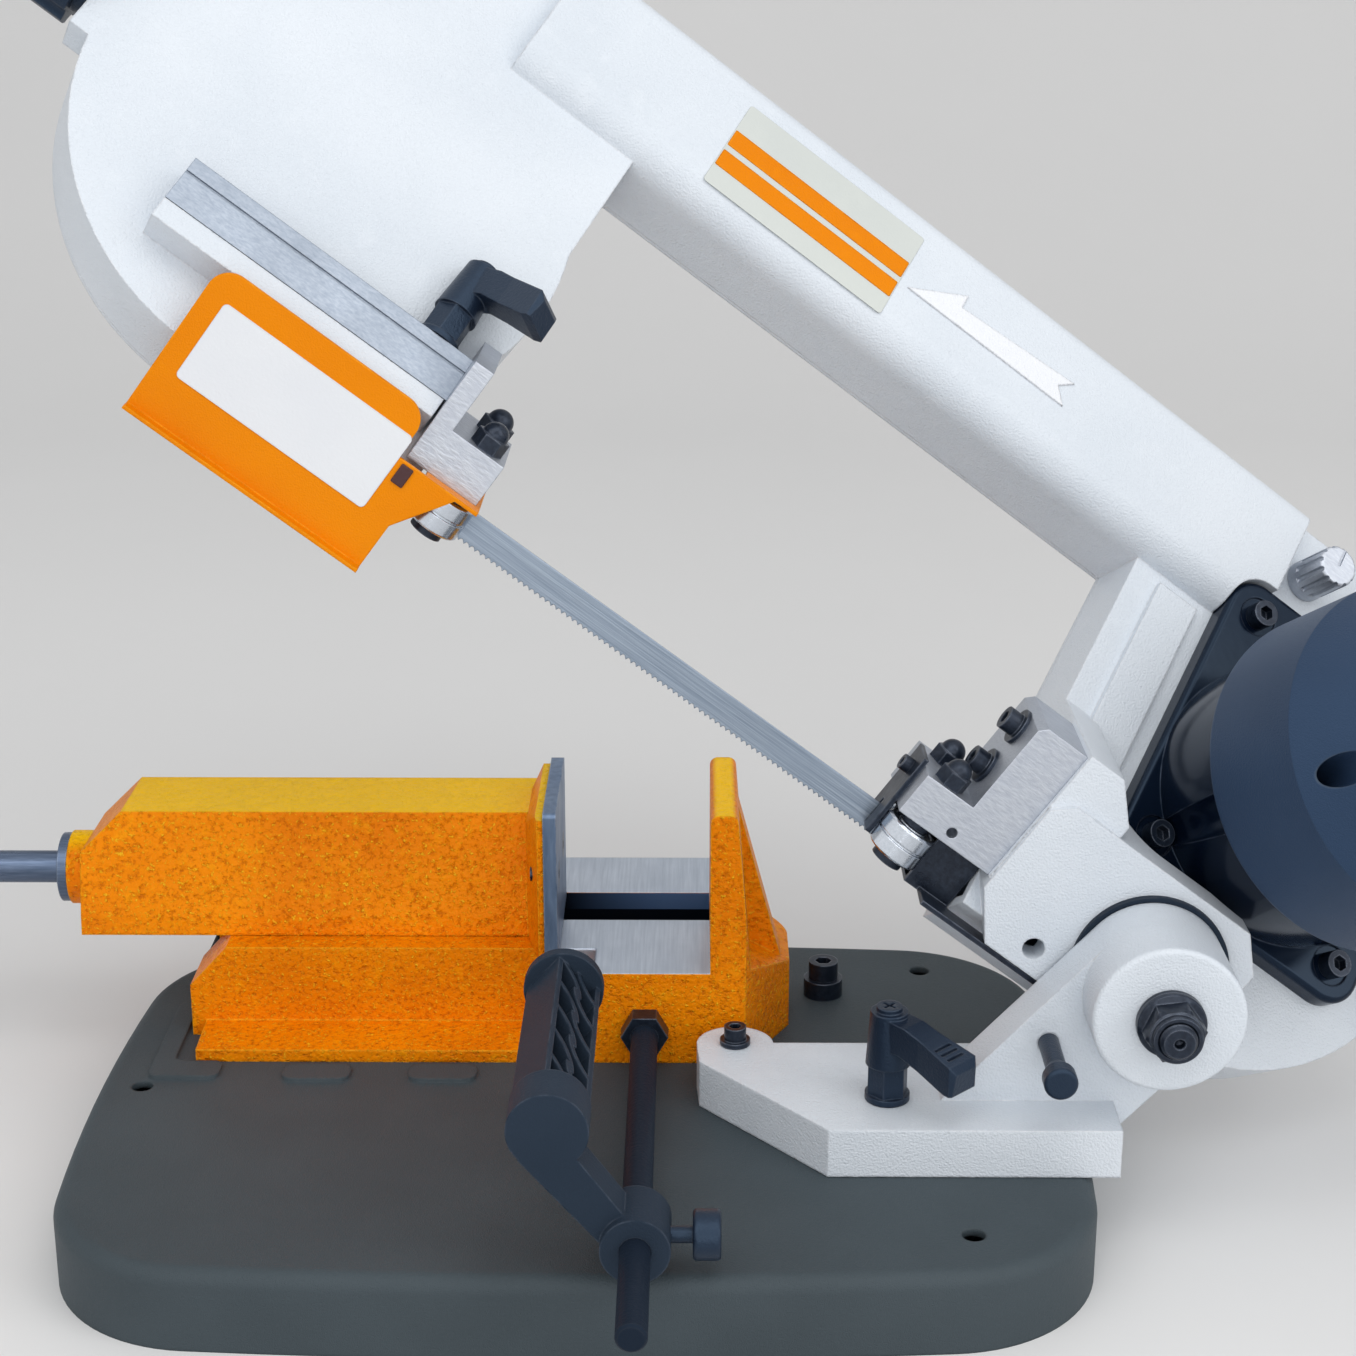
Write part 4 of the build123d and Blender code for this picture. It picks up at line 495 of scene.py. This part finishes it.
SLOPE = math.asin(ALONG.z)
STEEL = metal("bright steel", (0.60, 0.64, 0.70), (0.53, 0.57, 0.63), (900.0, 900.0, 900.0), (0.18, 0.26),
              0.00004)
BLADE_STOCK = metal("blade stock", (0.36, 0.42, 0.50), (0.22, 0.27, 0.34), (25.0, 1400.0, 1400.0),
                    (0.30, 0.46), turn=SLOPE)
BLACKENED = metal("blackened steel", (0.020, 0.030, 0.050), (0.008, 0.013, 0.025), (500.0, 500.0, 500.0),
                  (0.26, 0.40), metallic=0.5, edge=(0.12, 0.14, 0.18))
PLATE_STEEL = metal("jaw plate steel", (0.17, 0.24, 0.36), (0.10, 0.15, 0.24), (300.0, 300.0, 60.0),
                    (0.36, 0.50), metallic=0.6, edge=(0.30, 0.34, 0.41))
SPINDLE_STEEL = metal("spindle steel", (0.13, 0.17, 0.25), (0.07, 0.10, 0.16), (60.0, 900.0, 900.0),
                      (0.24, 0.36), metallic=0.8, edge=(0.25, 0.29, 0.36))
ALLOY = metal("sawn alloy", (0.55, 0.58, 0.63), (0.45, 0.48, 0.54), (260.0, 900.0, 900.0), (0.40, 0.54), 0.0002,
              turn=SLOPE)
RAIL_ALLOY = metal("rail alloy", (0.36, 0.40, 0.46), (0.27, 0.31, 0.37), (420.0, 1100.0, 1100.0), (0.46, 0.60),
                   turn=SLOPE)
BRONZE = metal("bronze", (0.60, 0.40, 0.16), (0.42, 0.26, 0.09), (700.0, 700.0, 700.0), (0.25, 0.38))
METALS = (STEEL, BLADE_STOCK, BLACKENED, PLATE_STEEL, SPINDLE_STEEL, ALLOY, RAIL_ALLOY, BRONZE)
print("metals:", [m.name for m in METALS])

# %% [markdown]
# ### Plastics and rubber
# The gear housing is a gloss coat, the motor cover a fine spark-eroded grain, and the levers a satin
# moulding. Grain is fine noise used as height; the seal is the same with a softer, duller surface.


# %% Plastics
SKY_TINT = (0.48, 0.70, 1.0)


def plastic(name, pale, dark, grain, deep, rough, edge, radius=0.0010, shine=0.5):
    mat, tree, shader, where = start(name)
    film = place_group(tree, COAT, where, Cast_Size=grain, Peel_Size=grain * 2.2, Cast_Share=0.6)
    rub_and_sheen = place_group(tree, EDGE, where, Break=0.48)
    base = blend_colour(tree, film.outputs["Drift"], dark, pale)
    # Corners take the paler bluish edge colour: a painted edge sheen.
    tree.links.new(blend_colour(tree, rub_and_sheen.outputs["Mask"], base, edge), shader.inputs["Base Color"])
    shader.inputs["Specular Tint"].default_value = (*SKY_TINT, 1.0)
    shader.inputs["Specular IOR Level"].default_value = shine
    rough_between(tree, shader, film.outputs["Height"], *rough)
    bump(tree, shader, film.outputs["Height"], deep, 1.0, radius)
    return mat


GLOSS = plastic("gloss black", (0.003, 0.007, 0.018), (0.002, 0.005, 0.013), 60.0, 0.00008, (0.12, 0.20),
                (0.05, 0.060, 0.085), shine=0.32)
MOTOR_PLASTIC = plastic("grained dark plastic", (0.021, 0.042, 0.088), (0.015, 0.031, 0.068), 1500.0, 0.00030,
                        (0.40, 0.54), (0.055, 0.072, 0.10))
LEVER_PLASTIC = plastic("satin black plastic", (0.011, 0.018, 0.034), (0.006, 0.011, 0.023), 900.0, 0.00025,
                        (0.28, 0.42), (0.050, 0.060, 0.082))
STOP_PLASTIC = plastic("dull black plastic", (0.026, 0.038, 0.058), (0.019, 0.029, 0.045), 900.0, 0.00025,
                       (0.50, 0.64), (0.070, 0.086, 0.115), shine=0.12)
ROD_BLACK = plastic("dull black rod", (0.012, 0.019, 0.032), (0.009, 0.014, 0.025), 600.0, 0.0003, (0.50, 0.64),
                    (0.03, 0.035, 0.045), shine=0.12)
RUBBER = plastic("seal rubber", (0.009, 0.013, 0.022), (0.006, 0.009, 0.015), 600.0, 0.0004, (0.55, 0.70),
                 (0.03, 0.03, 0.034))
PLASTICS = (GLOSS, MOTOR_PLASTIC, LEVER_PLASTIC, STOP_PLASTIC, ROD_BLACK, RUBBER)
print("plastics:", [m.name for m in PLASTICS])

# %% Finish of every piece in the model
FINISH = {
    "white_coat": WHITE, "orange_coat": JAW_CAST, "orange_sheet": ORANGE_SHEET, "pan_coat": PAN,
    "bright_steel": STEEL, "blade_steel": BLADE_STOCK, "black_steel": BLACKENED, "bracket_alloy": ALLOY,
    "gloss_black": GLOSS, "dark_plastic": MOTOR_PLASTIC, "black_plastic": LEVER_PLASTIC, "bronze": BRONZE,
    "seal_rubber": RUBBER,
}
OWN_FINISH = {
    "vise_bed": BED_CAST, "jaw_plate": PLATE_STEEL, "vise_screw": SPINDLE_STEEL,
    "stop_rod": ROD_BLACK, "work_stop": STOP_PLASTIC, "guide_rail": RAIL_ALLOY,
}
for part in frame["record"]["subparts"]:
    finish = OWN_FINISH.get(part["node"], FINISH[part["material_slot"]])
    slots = NODES[part["node"]].material_slots
    for slot in slots:
        slot.material = finish
    if not slots:
        NODES[part["node"]].data.materials.append(finish)

# %% [markdown]
# ## Pieces of the scene
# A mesh made in code becomes a piece the same way each time: it gets its finish and rides on the body that
# carries it.


# %% From mesh to piece
def add_piece(name, mesh, finish, body):
    bmesh.ops.recalc_face_normals(mesh, faces=mesh.faces)
    data = bpy.data.meshes.new(name)
    mesh.to_mesh(data)
    mesh.free()
    data.materials.append(finish)
    piece = bpy.data.objects.new(name, data)
    bpy.context.scene.collection.objects.link(piece)
    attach(piece, body)
    return piece


# %% [markdown]
# ### Hinge nut and pin end
# The bow's hinge is closed by a lock nut with a flange, six flats and a round collar. The pin in it ends in a
# thread with a centre hole. Both are turned: rings of points about the hinge, held back where a flat cuts them.


# %% Turned pieces
TURN_STEPS, SHARP_ANGLE = 120, math.radians(28)
NUT_FLATS, NUT_TURN = 20.0, math.radians(44)
NUT_SEAT, NUT_BORE, PIN_BACK, PIN_R = -73.3, 7.0, -3.7, 8.0


def turned_ring(mesh, radius, depth, cut):
    """Points about the hinge at one depth (mm), held back to the nut's flats where they cut it."""
    ring = []
    for i in range(TURN_STEPS):
        a = 2 * math.pi * i / TURN_STEPS
        flat = NUT_FLATS / 2 / math.cos(a % (math.pi / 3) - math.pi / 6)
        r = min(radius, flat) if cut else radius
        ring.append(mesh.verts.new(on_guide(r * math.cos(a + NUT_TURN), depth, r * math.sin(a + NUT_TURN))))
    return ring


def turned(name, rows, hollow, node):
    """Rings of points in place of a node; a hollow piece closes on itself, a solid one has two end faces."""
    mesh = bmesh.new()
    rings = [turned_ring(mesh, *row) for row in rows]
    for one, two in zip(rings, rings[1:] + rings[:1] if hollow else rings[1:]):
        for i in range(TURN_STEPS):
            after = (i + 1) % TURN_STEPS
            mesh.faces.new((one[i], one[after], two[after], two[i]))
    if not hollow:
        mesh.faces.new(rings[0])
        mesh.faces.new(rings[-1])
    bmesh.ops.recalc_face_normals(mesh, faces=mesh.faces)
    for face in mesh.faces:
        face.smooth = True
    for edge in mesh.edges:
        edge.smooth = edge.calc_face_angle(0.0) < SHARP_ANGLE
    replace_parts(add_piece(name, mesh, BLACKENED, "bow"), node)


NUT_ROWS = (
    (NUT_BORE, NUT_SEAT, False), (13.0, NUT_SEAT, False), (13.0, NUT_SEAT - 1.5, False),
    (12.6, NUT_SEAT - 2.1, False), (11.55, NUT_SEAT - 3.0, True), (11.55, NUT_SEAT - 9.6, True),
    (10.2, NUT_SEAT - 11.0, True), (9.4, NUT_SEAT - 11.3, False), (9.4, NUT_SEAT - 13.5, False),
    (9.0, NUT_SEAT - 14.0, False), (7.7, NUT_SEAT - 14.1, False), (NUT_BORE, NUT_SEAT - 13.6, False),
)
THREAD = [(r, NUT_SEAT - 12.6 - 0.5 * i, False) for i, r in enumerate((6.9, 6.3, 6.9, 6.9, 6.3, 6.9))]
PIN_ROWS = [
    (7.2, PIN_BACK, False), (PIN_R, PIN_BACK - 0.8, False), (PIN_R, NUT_SEAT + 1.6, False),
    (6.9, NUT_SEAT + 0.6, False), *THREAD, (6.7, NUT_SEAT - 15.5, False), (5.7, NUT_SEAT - 16.6, False),
    (2.2, NUT_SEAT - 16.7, False), (1.9, NUT_SEAT - 16.4, False), (1.8, NUT_SEAT - 13.5, False),
    (0.3, NUT_SEAT - 12.6, False),
]
turned("lock_nut", NUT_ROWS, True, "hinge_nut")
turned("hinge_pin_turned", PIN_ROWS, False, "hinge_pin")
print("turned pieces: 2")

# %% [markdown]
# ### Bare plates
# The blade guard carries a thin stuck-on sheet, and the beam a longer one with two coloured bands. Both are
# left without print. Each is a rounded sheet made in code: an outline, a small thickness, and a bevelled rim.


# %% Stuck-on sheets
def sheet_outline(wide, tall, corner, steps=6):
    """Corners of a rounded rectangle about its middle, in millimetres."""
    points = []
    for quarter, (sx, sy) in enumerate(((1, 1), (-1, 1), (-1, -1), (1, -1))):
        for i in range(steps + 1):
            a = math.radians(90 * quarter + 90 * i / steps)
            points.append((sx * (wide / 2 - corner) + corner * math.cos(a),
                           sy * (tall / 2 - corner) + corner * math.sin(a)))
    return points


def stuck_sheet(name, middle, right, up, wide, tall, corner, thick_and_top_light, finish, body):
    """Thin rounded sheet that lies on a face; right and up are directions in the face."""
    out = right.cross(up).normalized()
    mesh = bmesh.new()
    back = [mesh.verts.new(middle + (right * x + up * y) * 0.001) for x, y in sheet_outline(wide, tall, corner)]
    face = mesh.faces.new(back)
    grown = bmesh.ops.extrude_face_region(mesh, geom=[face])
    front = [v for v in grown["geom"] if isinstance(v, bmesh.types.BMVert)]
    bmesh.ops.translate(mesh, verts=front, vec=out * thick_and_top_light * 0.001)
    rim = [e for e in mesh.edges if all(v in front for v in e.verts)]
    bmesh.ops.bevel(mesh, geom=rim, offset=thick_and_top_light * 0.0003, segments=2, affect="EDGES")
    add_piece(name, mesh, finish, body)


SHEET_WHITE = coat("bare white sheet", (0.74, 0.76, 0.79), (0.70, 0.72, 0.76), 60.0, 900.0, 0.4, 0.0001,
                   (0.22, 0.30), (0.66, 0.68, 0.72), 0.0004, 0.3)
SHEET_GREY = coat("bare grey sheet", (0.60, 0.63, 0.60), (0.56, 0.59, 0.57), 60.0, 900.0, 0.4, 0.0001,
                  (0.26, 0.36), (0.62, 0.65, 0.63), 0.0004, 0.3)
GUARD_FRONT, BEAM_FACE = -26.5, 25.0
stuck_sheet("guard_sheet", on_guide(-390.0, GUARD_FRONT, -15.5), ALONG, SQUARE, 82.0, 33.0, 2.0, 0.3,
            SHEET_WHITE, "left_guide")
stuck_sheet("beam_sheet", on_bow(-268.0, 194.5, BEAM_FACE), ALONG, ACROSS, 90.0, 43.0, 1.5, 0.25,
            SHEET_GREY, "bow")
for name, across in (("beam_band_low", 186.5), ("beam_band_high", 197.5)):
    stuck_sheet(name, on_bow(-268.0, across, BEAM_FACE + 0.2), ALONG, ACROSS, 89.0, 8.3, 0.6, 0.25,
                ORANGE_SHEET, "bow")
PAD_BROWN = plastic("brown pad", (0.070, 0.022, 0.012), (0.045, 0.014, 0.008), 500.0, 0.0002, (0.45, 0.60),
                    (0.10, 0.035, 0.02), 0.0004)
stuck_sheet("guard_pad", on_guide(-344.5, GUARD_FRONT, -13.1), ALONG, SQUARE, 5.0, 8.0, 0.5, 0.8,
            PAD_BROWN, "left_guide")
print("bare sheets: 4, pads: 1")

# %% [markdown]
# ## Floor, light and camera
# The floor is one pale sheet that runs up behind the saw. Soft lamps stand high on the left, on the right,
# low in front and above, and the surroundings are an even pale grey, so that metal has something to mirror.


# %% Floor
def make_floor():
    size, back, high, round_r = 6.0, 2.4, 3.0, 1.0
    profile = [(-size, 0.0), (back - round_r, 0.0)]
    for turn in range(9, 90, 9):
        a = math.radians(turn)
        profile.append((back - round_r + round_r * math.sin(a), round_r - round_r * math.cos(a)))
    profile += [(back, round_r), (back, high)]
    mesh = bpy.data.meshes.new("floor")
    verts = [(x, y, z) for y, z in profile for x in (-size, size)]
    faces = [(2 * i, 2 * i + 1, 2 * i + 3, 2 * i + 2) for i in range(len(profile) - 1)]
    mesh.from_pydata(verts, [], faces)
    floor = bpy.data.objects.new("floor", mesh)
    bpy.context.scene.collection.objects.link(floor)
    for face in mesh.polygons:
        face.use_smooth = True
    mat, tree, shader, where = start("pale floor")
    tree.links.new(blend_colour(tree, noise(tree, where, 3.0), (0.77, 0.77, 0.77), (0.80, 0.80, 0.80)),
                   shader.inputs["Base Color"])
    shader.inputs["Roughness"].default_value = 0.85
    mesh.materials.append(mat)
    return floor


make_floor()


# %% Lamps and surroundings
def lamp(name, place, target, size, power):
    data = bpy.data.lights.new(name, "AREA")
    data.shape = "RECTANGLE"
    data.size, data.size_y = size
    data.energy = power
    obj = bpy.data.objects.new(name, data)
    obj.location = place
    obj.rotation_euler = (Vector(target) - Vector(place)).to_track_quat("-Z", "Y").to_euler()
    bpy.context.scene.collection.objects.link(obj)


lamp("key lamp", (-1.1, -1.5, 1.9), (0, 0, 0.25), (1.6, 1.2), 10.0)
lamp("right lamp", (1.7, -1.0, 1.2), (0, 0, 0.25), (1.2, 1.4), 10.0)
lamp("front lamp", (0.15, -2.3, 0.75), (0.05, 0, 0.2), (2.0, 1.2), 11.0)
lamp("top lamp", (0.3, -0.8, 2.0), (0.05, 0, 0.15), (1.8, 1.2), 10.0)

LIGHT_FALLING, LIGHT_SEEN = 0.56, 1.0
world = bpy.data.worlds.new("studio")
bpy.context.scene.world = world
world.use_nodes = True
sky = world.node_tree
path = add(sky, "ShaderNodeLightPath")
seen = math_node(sky, "MAXIMUM", path.outputs["Is Camera Ray"], math_node(
    sky, "MAXIMUM", path.outputs["Is Glossy Ray"], path.outputs["Is Transmission Ray"]))
even = add(sky, "ShaderNodeMapRange")
sky.links.new(seen, even.inputs["Value"])
even.inputs["To Min"].default_value = LIGHT_FALLING
even.inputs["To Max"].default_value = LIGHT_SEEN
sky.links.new(even.outputs["Result"], sky.nodes["Background"].inputs["Strength"])
sky.nodes["Background"].inputs["Color"].default_value = (1.0, 1.0, 1.0, 1.0)
bpy.context.scene.view_settings.view_transform = "Standard"

# %% [markdown]
# The picture was taken from in front, a little above the vise, looking down by 18 degrees. The lens is
# chosen so that the blade, the guides and the vise fall where the picture has them.

# %% Camera
SENSOR_MM, LENS_MM = 36.0, 64.4
CAMERA_PLACE = (0.01875, -0.86642, 0.4962)
LOOK_DOWN, LOOK_LEFT = math.radians(18.0), math.radians(0.38)
lens = bpy.data.cameras.new("camera")
lens.sensor_width = SENSOR_MM
lens.lens = LENS_MM
lens.clip_start = 0.05
camera = bpy.data.objects.new("camera", lens)
camera.location = CAMERA_PLACE
camera.rotation_euler = (math.pi / 2 - LOOK_DOWN, 0.0, LOOK_LEFT)
bpy.context.scene.collection.objects.link(camera)
bpy.context.scene.camera = camera
print("camera at", [round(c, 3) for c in camera.location])
